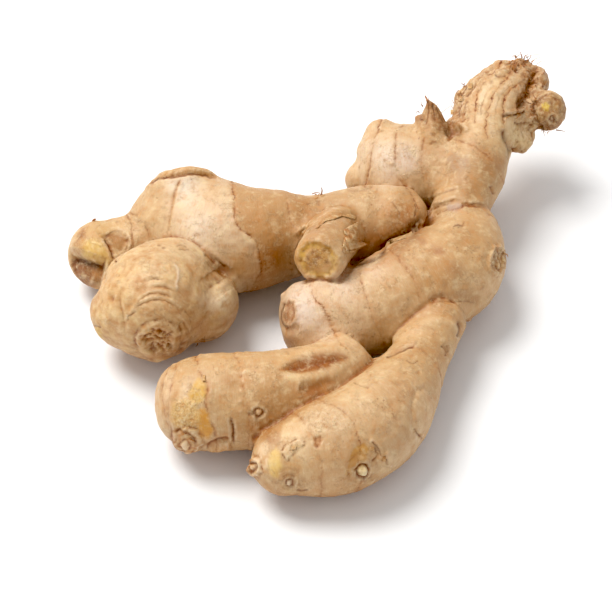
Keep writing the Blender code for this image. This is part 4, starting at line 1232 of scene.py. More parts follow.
# leaf-shaped hollow: the brown inside, the dark tones in it and the darker facet below are painted shade, and the pale
# lower ridge is a painted highlight
leaf = [(279.6, 369.5), (292, 361), (305, 355.5), (323.8, 352.8), (338, 353.5), (349, 357), (338, 364), (323.8, 369), (311, 372.5), (297, 374)]
k, d, w = patch(leaf, (158, 90, 24), 0.92, soft=1.4, jag=0.15)
DISP[k] -= 2.0 * bump(d, -1.0, 4.0) * SEEN[k]
fold([(277, 371), (281, 365), (290, 357), (305, 349), (331.8, 346.4), (350, 352)], 1.8, 0.25, rgb=(230, 184, 126), much=0.45)
fold([(279, 375), (292, 378), (305, 378.6), (327.8, 377), (337, 371), (350, 360)], 1.9, 0.55, rgb=(252, 218, 166), much=0.75)
crack([(282, 368), (296, 361), (310, 356.5), (326, 354.5), (342, 356)], 0.5, 0.15, 0.15, jag=0.15)
fold([(297, 386), (308, 389), (322, 384), (333, 378)], 2.2, -0.7, rgb=(176, 118, 66), much=0.5)
tone(315, 391, 14, (168, 104, 44), 0.78); tone(335, 380, 10, (170, 108, 56), 0.5); tone(337, 361, 8, (154, 96, 48), 0.65); tone(312, 379.5, 5, (246, 206, 154), 0.5)
fold([(300, 381), (298, 390), (301, 399)], 1.0, 0.3)
crack([(318, 361), (322, 367), (326, 371)], 0.3, 0.1, 0.3)

# =============================================================================
# lower right finger
# =============================================================================
gk = np.nonzero((fam_name == "lower_right_finger") & (SEEN > 0))[0]
DISP[gk] += SEEN[gk] * (0.16 * fbm(V[gk], 5.0, 2, 221) - 0.12 * np.maximum(0, noise(V[gk], 2.8, 223)))
tone(425, 345, 20, (196, 148, 98), 0.65); tone(400, 365, 18, (222, 182, 132), 0.65); tone(375, 392, 22, (236, 200, 152), 0.7)
tone(400, 395, 20, (202, 156, 112), 0.6); tone(425, 400, 16, (218, 180, 138), 0.6); tone(345, 395, 14, (240, 206, 158), 0.6)
tone(380, 425, 22, (220, 180, 136), 0.6); tone(340, 445, 20, (214, 172, 130), 0.5); tone(330, 476, 22, (230, 186, 138), 0.7)
tone(395, 445, 16, (214, 174, 130), 0.5); tone(290, 465, 14, (226, 184, 130), 0.5); tone(440, 355, 10, (196, 146, 98), 0.4)
ring("lower_right_finger", [(318, 400), (324, 403), (335, 405.8), (343, 411), (351, 419), (355, 427), (357, 437)], lip=0.15, groove=0.2, line=0.45,
     stain=0.3, step=0.2, jag=0.5)
ring("lower_right_finger", [(292, 413), (298.8, 416.5), (304, 423), (309.6, 430), (313, 438)], lip=0.2, groove=0.2, line=0.35, stain=0.4, step=0.2, jag=0.5)
ring("lower_right_finger", [(371, 372), (371, 385.7), (386, 400), (394, 413.8), (399, 428)], lip=0.1, groove=0.12, line=0.3, stain=0.2, jag=0.5)
ring("lower_right_finger", [(389, 354), (398, 349), (408.7, 347), (420, 349), (431, 357)], lip=0.15, groove=0.3, line=0.4, stain=0.25)
crack([(385, 358), (391, 355), (400, 351), (408.7, 347.5), (415, 346)], 0.5, 0.6, 0.75); crack([(413, 347.5), (416, 343)], 0.35, 0.2, 0.5)
crack([(352.4, 381.7), (361, 386), (370, 388)], 0.35, 0.15, 0.35)
k, d, w = patch([(302, 420), (312, 408), (324, 403.5), (335, 407), (344, 413), (352, 424), (350, 436), (338, 434), (324, 432), (312, 434)], (246, 214, 170), 0.5,
                soft=2.4, jag=1.6, peel=0.6)
DISP[k] += w * 0.3 * fbm(V[k], 2.4, 3, 141)
k, d, w = patch([(280, 436), (284, 424), (296, 418), (304, 424), (306, 432), (299, 440), (288, 444)], (242, 208, 160), 0.7, soft=0.8, jag=0.5)
crack([(282, 453), (286.5, 460.5), (290, 458)], 0.4, 0.2, 0.35, rgb=(140, 88, 46), jag=0.5); crack([(290, 457.5), (297, 450), (303, 446), (305, 440)], 0.4, 0.2, 0.32, rgb=(140, 88, 46), jag=0.6)
crack([(282, 453), (285, 446), (291, 443), (299, 437.5)], 0.4, 0.18, 0.3, rgb=(150, 96, 52), jag=0.6); crack([(293, 444), (290, 451), (294, 448)], 0.3, 0.2, 0.5, rgb=(150, 96, 52))
k, d, w = patch([(281, 452), (285, 446), (298, 439), (305, 443), (297, 451), (287, 460)], (240, 206, 158), 0.6, soft=0.4)
DISP[k] += 0.35 * w
patch([(270, 452), (276, 448), (281, 456), (281, 470), (278, 478), (270, 474), (267, 462)], (250, 212, 134), 0.85, soft=0.7, rough=0.5, mottled=0.35,
      mrgb=(230, 182, 116))
patch([(258, 446), (266, 440), (270, 450), (268, 466), (262, 472), (255, 462)], (252, 218, 174), 0.8, soft=0.8, mottled=0.5, mrgb=(216, 162, 104))
k, d, w = patch([(314, 438), (320, 436), (322, 441), (318, 448), (313, 446)], (204, 146, 96), 0.8, soft=0.5, jag=0.3)
DISP[k] -= 0.5 * w
# big bud with its yellow patch
patch([(352, 452), (356, 446), (364.5, 443), (369, 449), (366, 461), (358, 470), (350, 477), (346, 474), (349, 463)], (224, 168, 88), 0.85, soft=0.6,
      jag=0.4, rough=0.5, mottled=0.4, mrgb=(206, 142, 66), sink=0.3)
scar(363, 471.2, 9.5, (150, 96, 50), (214, 160, 100), deep=0.4, swell=0.4, width=0.8)
scar(363, 471.2, 6.3, (84, 50, 24), (240, 216, 158), deep=0.9, swell=0.8, width=0.5)
spot(363, 471.0, 4.2, 0.7, (246, 226, 170), 0.95, power=4); spot(361.5, 468.5, 1.5, 0.0, (206, 176, 96), 0.6)
crack([(352, 474), (359, 478), (369, 479), (375, 473)], 0.8, 0.5, 0.5, rgb=(150, 106, 70), ends=0.3)
fold([(368, 440), (375, 443), (380.5, 454), (378, 464)], 1.1, 0.6, rgb=(226, 180, 128), much=0.4)
crack([(371, 441), (378, 448), (381, 457)], 0.45, 0.4, 0.6); crack([(374, 446), (377, 456), (372, 462)], 0.4, 0.4, 0.55)
fold([(384.5, 452), (390, 458), (388, 468)], 1.1, 0.6, rgb=(230, 196, 152), much=0.5); crack([(386, 458), (387, 465)], 0.4, 0.3, 0.5)
scar(288.5, 482.5, 6.5, (164, 118, 78), (206, 160, 114), deep=0.25, swell=0.3, width=0.6)
scar(289, 483, 3.6, (92, 58, 34), (226, 196, 158), deep=0.5, swell=0.5, width=0.35)
crack([(282, 478), (288, 474), (296, 477)], 0.5, 0.3, 0.35); crack([(296, 489), (302, 491), (309, 489)], 0.4, 0.3, 0.45)
spot(298, 471, 3, -0.3, (214, 158, 100), 0.5)
# side lobe
lobe = [(417, 392), (424, 388), (432, 394), (434, 408), (431, 424), (423, 436), (415, 432), (413, 412)]
k, d, w = patch(lobe, (234, 194, 146), 0.5, soft=1.6, jag=0.5)
DISP[k] -= SEEN[k] * 0.4 * np.exp(-((d + 0.2) / 1.0) ** 2)
spot(423, 436, 3.2, 0.9, (200, 136, 86), 0.7); crack([(415, 428), (419, 434), (424, 441)], 0.45, 0.3, 0.5)
crack([(424, 396), (427, 404), (426, 412)], 0.3, 0.1, 0.25)
for a in ((412, 356), (406, 372), (398, 384), (418, 372), (404, 360), (430, 372), (414, 384), (390, 372), (437, 366), (384, 410), (402, 420), (366, 408)):
    spot(a[0], a[1], 3.4, 0.25 if (a[0] % 2) else -0.25, (196, 144, 94) if a[0] % 3 else (238, 204, 160), 0.35)
crack([(405, 360), (413, 364), (419, 360)], 0.35, 0.15, 0.45); crack([(441, 345), (446, 351), (445, 357)], 0.5, 0.3, 0.6)
# painted highlight: the pale tint along the raised edge of the right finger's root, and the pale tone beside it
fold([(390, 343), (396.6, 337), (414, 327), (434, 320.5), (450, 323), (458, 331)], 1.6, 0.5, rgb=(240, 204, 156), much=0.45)
tone(415, 334, 12, (236, 196, 146), 0.5)
crack([(458, 322), (461, 330), (457, 338)], 0.7, 0.4, 0.6); crack([(446, 345), (448, 353)], 0.5, 0.2, 0.5)
scar(253, 467, 4.6, (160, 108, 66), (228, 184, 136), deep=0.5, swell=0.8, width=0.45)
spot(249, 470, 3.0, 0.9, (196, 140, 88), 0.6); spot(257, 460, 3.0, 0.3, (226, 186, 140), 0.4)
spot(342, 430, 4, 0.3); spot(326, 425, 3, -0.25); spot(335, 418, 3, 0.3)

# =============================================================================
# the sides that face away
# =============================================================================
for f, shares in (("left_arm", (0.22, 0.5, 0.78)), ("front_knob", (0.35, 0.6)), ("left_tip", (0.55,)), ("main_body", (0.25, 0.42, 0.6, 0.8)),
                  ("lower_left_finger", (0.22, 0.4, 0.6, 0.8)), ("lower_right_finger", (0.2, 0.38, 0.55, 0.72, 0.88)), ("upper_lobe", (0.3, 0.5, 0.68, 0.85)),
                  ("neck", (0.3, 0.5)), ("head", (0.35, 0.5, 0.65))):
    for s in shares:
        plain_ring(f, s)
HID = 1 - np.clip(SEEN * 2.5, 0, 1)
rng = np.random.default_rng(7)
spots = rng.choice(np.nonzero(HID > 0.9)[0], 26, replace=False)
for n, i in enumerate(spots):                          # bud scars and flaky patches
    d = np.linalg.norm(V - V[i], axis=1) * (1 + 0.25 * noise(V, 3.0, 155)) + 0.6 * noise(V, 1.8, 151) if n < 9 else np.linalg.norm(V - V[i], axis=1) + 1.4 * noise(V, 4, 153 + n)
    if n < 9:
        R = 1.6 + 0.9 * rng.random()
        k = np.nonzero(d < 3.2 * R)[0]
        s = d[k] - R
        DISP[k] += HID[k] * (0.6 * (1 - bump(d[k], R * 0.2, R)) - 0.5 * np.exp(-(s / 0.5) ** 2) + 0.2 * np.exp(-((s - 0.9) / 0.8) ** 2))
        tint(k, HID[k] * (1 - bump(d[k], R * 0.6, R)), (214, 172, 122), 0.8)
        tint(k, HID[k] * np.exp(-(s / 0.6) ** 2) * np.clip(0.5 + noise(V[k], 2.4, 157), 0.1, 1), (126, 76, 38), 0.8)
    else:
        R = 4 + 5 * rng.random()
        k = np.nonzero(d < R + 1)[0]
        w = bump(-d[k], -R, -R + 1.5) * HID[k]
        tint(k, w, ((236, 200, 128), (240, 212, 172), (196, 146, 96))[n % 3], 0.6)
        PEEL[k] = np.maximum(PEEL[k], w * (0.3 + 0.5 * rng.random()))

# =============================================================================
# raise the skin; hollows and broad cavities get painted shade and ridges a painted highlight
# =============================================================================
DISP = np.clip(net.smooth(DISP, 1, 0.2), -5.0, 3.5)
CREASE = np.clip(net.smooth(CREASE, 3), 0, 6.0)
calm = net.smooth(NRM, 24)
calm /= np.maximum(np.linalg.norm(calm, axis=1), 1e-9)[:, None]
V = V + NRM * DISP[:, None] - calm * CREASE[:, None]
pinch = bump(CREASE, 0.4, 2.0)
for _ in range(14):               # keep the deep folds smooth
    V = V + (0.6 * pinch)[:, None] * (net.around(V) - V)
nrm2 = net.normals(V)
fine = ((net.smooth(V, 5) - V) * nrm2).sum(1)
fine = fine - net.smooth(fine, 40)
broad = ((net.smooth(V, 60) - V) * nrm2).sum(1)
# painted shade in the fine and broad hollows, painted highlight on the ridges
tint(ALL, bump(fine, 0.015, 0.18), (150, 86, 36), 0.82)
tint(ALL, bump(-fine, 0.015, 0.14), (252, 226, 186), 0.52)
tint(ALL, bump(broad, 0.15, 1.3), (170, 96, 40), 0.6)
COL = balance(COL)
low = V[:, 2].min()
N_V = len(V)
print("lowest point", round(float(low), 3), "highest", round(float(V[:, 2].max()), 3))
V[:, 2] = np.where(V[:, 2] < 0.6, 0.6 + (V[:, 2] - 0.6) * (0.6 / max(0.6 - low, 0.6)), V[:, 2])

# =============================================================================
# mesh, with the skin's colours and markings as attributes
# =============================================================================
me = bpy.data.meshes.new("ginger_skin")
me.vertices.add(N_V)
me.vertices.foreach_set("co", (V * MM).astype(np.float32).ravel())
me.loops.add(len(Q) * 4)
me.loops.foreach_set("vertex_index", Q.astype(np.int32).ravel())
me.polygons.add(len(Q))
me.polygons.foreach_set("loop_start", np.arange(0, len(Q) * 4, 4, dtype=np.int32))
me.update(calc_edges=True)
me.shade_smooth()


def put(name, kind, data):
    a = me.attributes.new(name, kind, "POINT")
    key = {"FLOAT_COLOR": "color", "FLOAT_VECTOR": "vector", "FLOAT": "value"}[kind]
    a.data.foreach_set(key, np.ascontiguousarray(data, np.float32).ravel())


put("tone", "FLOAT_COLOR", np.hstack([np.clip(COL, 0, 1), np.ones((N_V, 1))]))
put("mark", "FLOAT_VECTOR", np.stack([np.clip(RING_D, -9, 9), RING_W, CLEAR], 1))
put("split", "FLOAT_VECTOR", np.stack([np.clip(LINE_D, -9, 9), LINE_W, net.smooth(PEEL, 1)], 1))
put("grain", "FLOAT_VECTOR", np.stack([RUN, LX, LY], 1))
put("matt", "FLOAT", ROUGH)
skin = bpy.data.objects.new("ginger_skin", me)
scene.collection.objects.link(skin)
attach(skin, "root")
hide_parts("ginger_root")

# =============================================================================
# material: thin papery skin over pale flesh
# =============================================================================
mat = bpy.data.materials.new("ginger_skin")
mat.use_nodes = True
nt = mat.node_tree
bsdf = nt.nodes["Principled BSDF"]


def node(kind, **kw):
    n = nt.nodes.new(kind)
    for k, v in kw.items():
        setattr(n, k, v)
    return n


def wire(a, b):
    nt.links.new(a, b)


def feed(sock, value):
    if isinstance(value, bpy.types.NodeSocket):
        wire(value, sock)
    else:
        sock.default_value = value


def math_(op, a, b=0.0, c=None, clamp=False):
    n = node("ShaderNodeMath", operation=op, use_clamp=clamp)
    feed(n.inputs[0], a)
    feed(n.inputs[1], b)
    if c is not None:
        feed(n.inputs[2], c)
    return n.outputs[0]


def ramp01(x, lo, hi):
    """Smooth 0 to 1 as x goes from lo to hi."""
    n = node("ShaderNodeMapRange", interpolation_type="SMOOTHSTEP")
    feed(n.inputs["Value"], x)
    n.inputs["From Min"].default_value = lo
    n.inputs["From Max"].default_value = hi
    return n.outputs["Result"]


def mix(fac, a, b, how="MIX"):
    n = node("ShaderNodeMix", data_type="RGBA", blend_type=how)
    feed(n.inputs[0], fac)
    feed(n.inputs[6], a)
    feed(n.inputs[7], b)
    return n.outputs[2]


def grain_noise(vector, scale, detail=2.0, rough=0.5, warp=0.0):
    n = node("ShaderNodeTexNoise", noise_dimensions="3D")
    feed(n.inputs["Vector"], vector)
    n.inputs["Scale"].default_value = scale
    n.inputs["Detail"].default_value = detail
    n.inputs["Roughness"].default_value = rough
    n.inputs["Distortion"].default_value = warp
    return n.outputs["Fac"]


def stretched(vector, sx, sy, sz):
    n = node("ShaderNodeVectorMath", operation="MULTIPLY")
    feed(n.inputs[0], vector)
    n.inputs[1].default_value = (sx, sy, sz)
    return n.outputs[0]


def rgb(r, g, b):
    c = balance(lin(r, g, b))
    return (float(c[0]), float(c[1]), float(c[2]), 1.0)


def attr(name):
    return node("ShaderNodeAttribute", attribute_name=name)


pos = node("ShaderNodeTexCoord").outputs["Object"]       # metres
mmv = stretched(pos, 1000, 1000, 1000)                  # millimetres
tone_a, mark_a, split_a, grain_a, matt_a = attr("tone"), attr("mark"), attr("split"), attr("grain"), attr("matt")
mark = node("ShaderNodeSeparateXYZ")
wire(mark_a.outputs["Vector"], mark.inputs[0])
split = node("ShaderNodeSeparateXYZ")
wire(split_a.outputs["Vector"], split.inputs[0])
grain = grain_a.outputs["Vector"]
clear = mark.outputs[2]
peel = split.outputs[2]

# fine fibres round each finger, longer wrinkles along it, mottling and specks
fibre = grain_noise(stretched(grain, 2.6, 0.34, 0.34), 1.0, 4.0, 0.65, 0.6)
length = grain_noise(stretched(grain, 0.13, 1.0, 1.0), 1.0, 3.0, 0.6, 0.5)
mottle = grain_noise(mmv, 0.28, 5.0, 0.62, 0.3)
cloud = grain_noise(mmv, 0.9, 4.0, 0.6, 0.4)
tiny = grain_noise(mmv, 3.2, 3.0, 0.6, 0.0)
flake = grain_noise(mmv, 0.42, 6.0, 0.72, 1.2)
wisp = grain_noise(mmv, 0.16, 3.0, 0.6, 0.8)

col = tone_a.outputs["Color"]
col = mix(math_("MULTIPLY", ramp01(mottle, 0.50, 0.70), 0.42), col, rgb(255, 226, 176))
col = mix(math_("MULTIPLY", ramp01(mottle, 0.50, 0.30), 0.40), col, rgb(214, 150, 84))
col = mix(math_("MULTIPLY", ramp01(cloud, 0.55, 0.72), 0.11), col, rgb(252, 230, 192))
col = mix(math_("MULTIPLY", ramp01(cloud, 0.46, 0.30), 0.13), col, rgb(190, 130, 74))
col = mix(math_("MULTIPLY", math_("MULTIPLY", ramp01(fibre, 0.53, 0.68), 0.22), clear), col, rgb(196, 138, 82))
col = mix(math_("MULTIPLY", math_("MULTIPLY", ramp01(fibre, 0.47, 0.33), 0.12), clear), col, rgb(252, 230, 194))
col = mix(math_("MULTIPLY", math_("MULTIPLY", ramp01(length, 0.56, 0.72), 0.08), clear), col, rgb(204, 144, 84))
# papery flakes with ragged edges
edge = math_("MULTIPLY", ramp01(flake, 0.535, 0.55), ramp01(wisp, 0.48, 0.60))
rim = math_("MULTIPLY", math_("MULTIPLY", ramp01(flake, 0.515, 0.535), ramp01(flake, 0.56, 0.54)), ramp01(wisp, 0.48, 0.60))
col = mix(math_("MULTIPLY", edge, 0.26), col, rgb(246, 214, 166))
col = mix(math_("MULTIPLY", rim, 0.30), col, rgb(186, 124, 70))
# corky, peeling places
cork = grain_noise(mmv, 1.1, 5.0, 0.7, 1.0)
col = mix(math_("MULTIPLY", math_("MULTIPLY", ramp01(cork, 0.50, 0.38), peel), 0.50), col, rgb(186, 124, 70))
col = mix(math_("MULTIPLY", math_("MULTIPLY", ramp01(cork, 0.52, 0.64), peel), 0.60), col, rgb(252, 226, 182))
# specks
speck = node("ShaderNodeTexVoronoi", feature="F1")
wire(mmv, speck.inputs["Vector"])
speck.inputs["Scale"].default_value = 0.30
dots = math_("MULTIPLY", ramp01(speck.outputs["Distance"], 0.13, 0.06), ramp01(wisp, 0.50, 0.58))
col = mix(math_("MULTIPLY", dots, 0.45), col, rgb(150, 94, 50))
# node rings: a thin broken line with a brownish halo round it
wob = math_("MULTIPLY", math_("SUBTRACT", grain_noise(mmv, 1.6, 4.0, 0.65, 0.0), 0.5), 1.5)
rd = math_("ABSOLUTE", math_("ADD", mark.outputs[0], wob))
ragged = ramp01(grain_noise(mmv, 0.55, 3.0, 0.6, 0.0), 0.38, 0.58)
line1 = math_("MULTIPLY", math_("MULTIPLY", ramp01(rd, 0.36, 0.08), mark.outputs[1]), ragged)
halo1 = math_("MULTIPLY", ramp01(rd, 1.5, 0.3), mark.outputs[1])
col = mix(math_("MULTIPLY", halo1, 0.26, clamp=True), col, rgb(210, 146, 86))
col = mix(math_("MULTIPLY", line1, 1.05, clamp=True), col, rgb(152, 88, 42))
# cracks
ld = math_("ABSOLUTE", math_("ADD", split.outputs[0], math_("MULTIPLY", wob, 0.45)))
line2 = math_("MULTIPLY", ramp01(ld, 0.30, 0.06), split.outputs[1])
col = mix(math_("MULTIPLY", line2, 0.75, clamp=True), col, rgb(108, 62, 32))
wire(col, bsdf.inputs["Base Color"])

rough = math_("ADD", matt_a.outputs["Fac"], math_("MULTIPLY", math_("SUBTRACT", cloud, 0.5), 0.25))
wire(rough, bsdf.inputs["Roughness"])
bsdf.inputs["Specular IOR Level"].default_value = 0.5
bsdf.inputs["Subsurface Weight"].default_value = 0.10
bsdf.inputs["Subsurface Radius"].default_value = (1.0, 0.5, 0.2)
bsdf.inputs["Subsurface Scale"].default_value = 0.0018

high = math_("MULTIPLY", fibre, 0.34)
high = math_("ADD", high, math_("MULTIPLY", length, 0.10))
high = math_("MULTIPLY", high, clear)
high = math_("ADD", high, math_("MULTIPLY", cloud, 0.34))
high = math_("ADD", high, math_("MULTIPLY", tiny, 0.07))
high = math_("ADD", high, math_("MULTIPLY", edge, 0.30))
high = math_("ADD", high, math_("MULTIPLY", math_("MULTIPLY", cork, peel), 1.3))
high = math_("SUBTRACT", high, math_("MULTIPLY", line1, 0.50))
high = math_("SUBTRACT", high, math_("MULTIPLY", line2, 0.8))
bumpn = node("ShaderNodeBump")
bumpn.inputs["Strength"].default_value = 0.7
bumpn.inputs["Distance"].default_value = 0.0005
wire(high, bumpn.inputs["Height"])
wire(bumpn.outputs["Normal"], bsdf.inputs["Normal"])
me.materials.append(mat)

# =============================================================================
# rootlets, loose fibres and torn skin
# =============================================================================
skin_tree = BVHTree.FromPolygons(V.tolist(), Q.tolist())
U2, W2, _ = to_view(V)


def at(u, v, lift=0.0):
    """The point lift mm in front of the finished skin at (u, v), or beside it just off the outline."""
    ray = view_ray(u, v)
    hit = skin_tree.ray_cast(Vector(EYE), Vector(ray), 2000.0)
    if hit[0] is not None:
        far = float(np.dot(np.array(hit[0]) - EYE, ray))
    else:
        k = np.argmin((U2 - u) ** 2 + (W2 - v) ** 2 + 1e6 * (SEEN <= 0))
        far = float(np.dot(V[k] - EYE, ray))
    return EYE + ray * (far - lift)


class Bits:
    """Many small closed shapes gathered into one mesh."""

    def __init__(self):
        self.V, self.F, self.C, self.n = [], [], [], 0

    def add(self, v, f, rgb):
        self.V.append(v)
        self.F += [tuple(i + self.n for i in q) for q in f]
        self.C.append(np.tile(balance(lin(*rgb)), (len(v), 1)) if isinstance(rgb, tuple) else rgb)
        self.n += len(v)

    def strand(self, pts, r0, r1, rgb, sides=5):
        P = np.array([at(*p) for p in pts])
        P = through(np.hstack([P, np.zeros((len(P), 1))]), 4)[:, :3] if len(P) > 2 else np.linspace(P[0], P[1], 4)
        r = np.linspace(r0, r1, len(P))
        v, f = loft(np.hstack([P, r[:, None], r[:, None]]), sides)
        self.add(v, f, rgb)

    def sheet(self, rows, thick, rgb, rgb2, seed, crumple=0.6, fine=4):
        """A crumpled sheet through rows of (u, v, lift) places, thick mm thick."""
        n, m = len(rows), len(rows[0])
        G = np.array([[at(*p) for p in row] for row in rows])
        a, b = np.linspace(0, n - 1, (n - 1) * fine + 1), np.linspace(0, m - 1, (m - 1) * fine + 1)
        i, j = np.minimum(a.astype(int), n - 2), np.minimum(b.astype(int), m - 2)
        s, t = (a - i)[:, None, None], (b - j)[None, :, None]
        P = (G[i][:, j] * (1 - s) * (1 - t) + G[i + 1][:, j] * s * (1 - t) + G[i][:, j + 1] * (1 - s) * t + G[i + 1][:, j + 1] * s * t)
        h, w = P.shape[:2]
        flat = P.reshape(-1, 3)
        back = (EYE - flat) / np.linalg.norm(EYE - flat, axis=1)[:, None]
        wob = crumple * (noise(flat, 2.2, seed) + 0.8 * np.abs(noise(flat, 1.2, seed + 1)) + 0.3 * noise(flat, 0.7, seed + 4))
        side = crumple * 0.5 * np.stack([noise(flat, 1.5, seed + 2), noise(flat, 1.5, seed + 3), 0 * wob], 1)
        top = flat + back * wob[:, None] + side
        low_ = top - back * thick
        idx = np.arange(h * w).reshape(h, w)
        F = []
        for x in range(h - 1):
            for y in range(w - 1):
                q = (idx[x, y], idx[x, y + 1], idx[x + 1, y + 1], idx[x + 1, y])
                F.append(q)
                F.append(tuple(k + h * w for k in q[::-1]))
        rim = list(idx[0, :]) + list(idx[1:, -1]) + list(idx[-1, :-1][::-1]) + list(idx[1:-1, 0][::-1])
        for x, y in zip(rim, rim[1:] + rim[:1]):
            F.append((x, x + h * w, y + h * w, y))
        mixw = bump(wob / max(crumple, 1e-6), -0.3, 0.7)[:, None]
        c = balance(lin(*rgb)) * (1 - mixw) + balance(lin(*rgb2)) * mixw
        self.add(np.vstack([top, low_]), F, np.vstack([c, c]))

    def piece(self, name, peel=0.3):
        v, c = np.vstack(self.V), np.vstack(self.C)
        v[:, 2] = np.maximum(v[:, 2], 0.3)
        me_ = mesh_from(name, v * MM, self.F)
        bm_ = bmesh.new()
        bm_.from_mesh(me_)
        bmesh.ops.recalc_face_normals(bm_, faces=bm_.faces)
        bm_.to_mesh(me_)
        bm_.free()
        me_.shade_smooth()
        n = len(v)
        for nm, kind, key, data in (("tone", "FLOAT_COLOR", "color", np.hstack([c, np.ones((n, 1))])),
                                    ("mark", "FLOAT_VECTOR", "vector", np.tile((9.0, 0.0, 0.6), (n, 1))),
                                    ("split", "FLOAT_VECTOR", "vector", np.tile((9.0, 0.0, peel), (n, 1))),
                                    ("grain", "FLOAT_VECTOR", "vector", v), ("matt", "FLOAT", "value", np.full(n, 0.65))):
            me_.attributes.new(nm, kind, "POINT").data.foreach_set(key, np.ascontiguousarray(data, np.float32).ravel())
        me_.materials.append(mat)
        ob_ = bpy.data.objects.new(name, me_)
        scene.collection.objects.link(ob_)
        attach(ob_, "root")
        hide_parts("ginger_root")
        return ob_


rng = np.random.default_rng(23)
BROWNS = ((186, 112, 54), (214, 148, 84), (148, 86, 42), (228, 172, 112), (198, 128, 66))


def fuzz(bits, line, n, reach, r0=0.16, r1=0.05, length=(4, 9), lift=(0.2, 1.2), lean=None):
    """n loose curled fibres along a line of the view, reach px to either side."""
    pts = np.array(line, float)
    for _ in range(n):
        s = rng.random() * (len(pts) - 1)
        i = min(int(s), len(pts) - 2)
        p = pts[i] + (pts[i + 1] - pts[i]) * (s - i) + rng.normal(0, reach * 0.5, 2)
        ang_ = rng.random() * 2 * math.pi if lean is None else lean + rng.normal(0, 0.5)
        L = rng.uniform(*length)
        turn = rng.normal(0, 0.9)
        path, q = [], p.copy()
        for k in range(4):
            path.append((q[0], q[1], rng.uniform(*lift) * (0.1 if k == 0 else 1)))
            q = q + np.array((math.cos(ang_), math.sin(ang_))) * L / 3
            ang_ += turn * 0.6
        bits.strand(path, r0 * rng.uniform(0.8, 1.3), r1, BROWNS[int(rng.integers(len(BROWNS)))])


hairs = Bits()
fuzz(hairs, [(513, 66), (518, 62), (524, 61), (530, 64)], 26, 6, length=(3, 8), lift=(0.2, 1.3))          # crown
fuzz(hairs, [(533, 70), (532, 80), (528, 92), (523, 103)], 34, 4.5, length=(3, 8), lift=(0.1, 1.0))        # crevice
fuzz(hairs, [(535, 98), (532, 108), (534, 118)], 14, 3.5, length=(3, 7), lift=(0.1, 0.8))                  # behind the knob
fuzz(hairs, [(537, 128), (546, 131), (557, 130)], 12, 2.5, length=(2.5, 6), lift=(0.1, 0.6))               # under the knob
fuzz(hairs, [(504, 118), (514, 115), (526, 113)], 10, 2.0, length=(3, 6), lift=(0.1, 0.5))                 # ledge
fuzz(hairs, [(466, 84), (457, 97), (449, 114)], 14, 3.0, length=(2.5, 6), lift=(0.1, 0.6))                 # left edge
fuzz(hairs, [(541, 68), (547, 80), (543, 90)], 8, 3.0, length=(3, 6), lift=(0.1, 0.6))
fuzz(hairs, [(316, 196), (322, 197)], 5, 1.5, length=(2, 4), lift=(0.1, 0.4))                                # arm
fuzz(hairs, [(197, 343), (206, 341), (215, 337)], 9, 1.8, length=(2.5, 6), lift=(0.1, 0.4))                # under the front knob
fuzz(hairs, [(420, 113), (428, 101), (436, 110)], 9, 2.5, length=(3, 6), lift=(0.1, 0.5), lean=-1.9)       # sprout
fuzz(hairs, [(177, 436), (186, 433), (194, 441), (188, 450)], 8, 2.0, length=(2, 4), lift=(0.1, 0.4))
fuzz(hairs, [(248, 466), (253, 460)], 5, 1.5, length=(2, 4), lift=(0.1, 0.4))
for pts, r0, r1, c in (([(522, 58, 0.2), (521.5, 55, 0.8), (520, 51.5, 1.0)], 0.28, 0.09, (190, 116, 56)),
                       ([(524, 59, 0.2), (525, 56, 1.0), (528, 54.5, 1.4)], 0.24, 0.08, (206, 134, 70)),
                       ([(527, 61, 0.2), (530, 58, 0.9), (531, 55, 0.8)], 0.2, 0.07, (170, 100, 48)),
                       ([(517, 58, 0.2), (514.5, 56, 0.7), (511, 57, 0.6)], 0.18, 0.06, (200, 130, 70)),
                       ([(531, 62, 0.3), (535, 59, 1.2), (541, 57, 1.6)], 0.10, 0.05, (216, 160, 104)),
                       ([(526, 58, 0.3), (532, 55, 1.2), (540, 54.5, 1.6)], 0.09, 0.05, (216, 160, 104)),
                       ([(537, 64, 0.2), (542, 61, 0.9), (546, 62, 1.0)], 0.09, 0.05, (206, 146, 90)),
                       ([(556, 130, 0.2), (560, 130.5, 0.3), (565.5, 131.5, 0.3)], 0.26, 0.08, (150, 88, 44)),
                       ([(440, 114, 0.2), (445, 110, 1.0), (449, 107, 1.0), (453, 105, 0.3)], 0.10, 0.06, (224, 168, 128)),
                       ([(321, 195, 0.2), (322, 191, 0.3), (321.6, 187.5, 0.3)], 0.34, 0.14, (150, 96, 60)),
                       ([(312, 194, 0.2), (316, 192.5, 0.4), (320, 193, 0.4)], 0.2, 0.1, (170, 112, 70)),
                       ([(427.5, 101, 0.1), (426.5, 98.5, 0.1), (425, 95.5, 0.1)], 0.5, 0.2, (196, 134, 84)),
                       ([(93, 221, 0.1), (94.5, 219.5, 0.2), (96, 219, 0.1)], 0.5, 0.25, (168, 106, 58)),
                       ([(503.5, 253, 0.1), (507, 254.5, 0.3), (508, 257, 0.2)], 0.25, 0.1, (206, 150, 96))):
    hairs.strand(pts, r0, r1, c)
hairs.piece("ginger_rootlets")

rags = Bits()
# crumpled flap beside the cut nub
rags.sheet([[(344.5, 229, 0.6), (350, 226, 2.4), (358.5, 221.5, 1.6)],
            [(344.5, 234, 0.6), (350, 232, 2.0), (357.5, 228, 2.8)],
            [(343.5, 240, 0.6), (350, 239, 2.6), (357.5, 236, 1.4)],
            [(342.5, 246, 0.7), (351, 244, 1.2), (362, 241.5, 2.2)],
            [(342.5, 251, 0.5), (351, 249.5, 2.2), (368, 244.5, 2.6)],
            [(345, 254.5, 0.4), (353, 252.5, 1.4), (362, 248, 1.4)]], 0.35, (206, 136, 74), (255, 218, 164), 301, 1.0, 6)
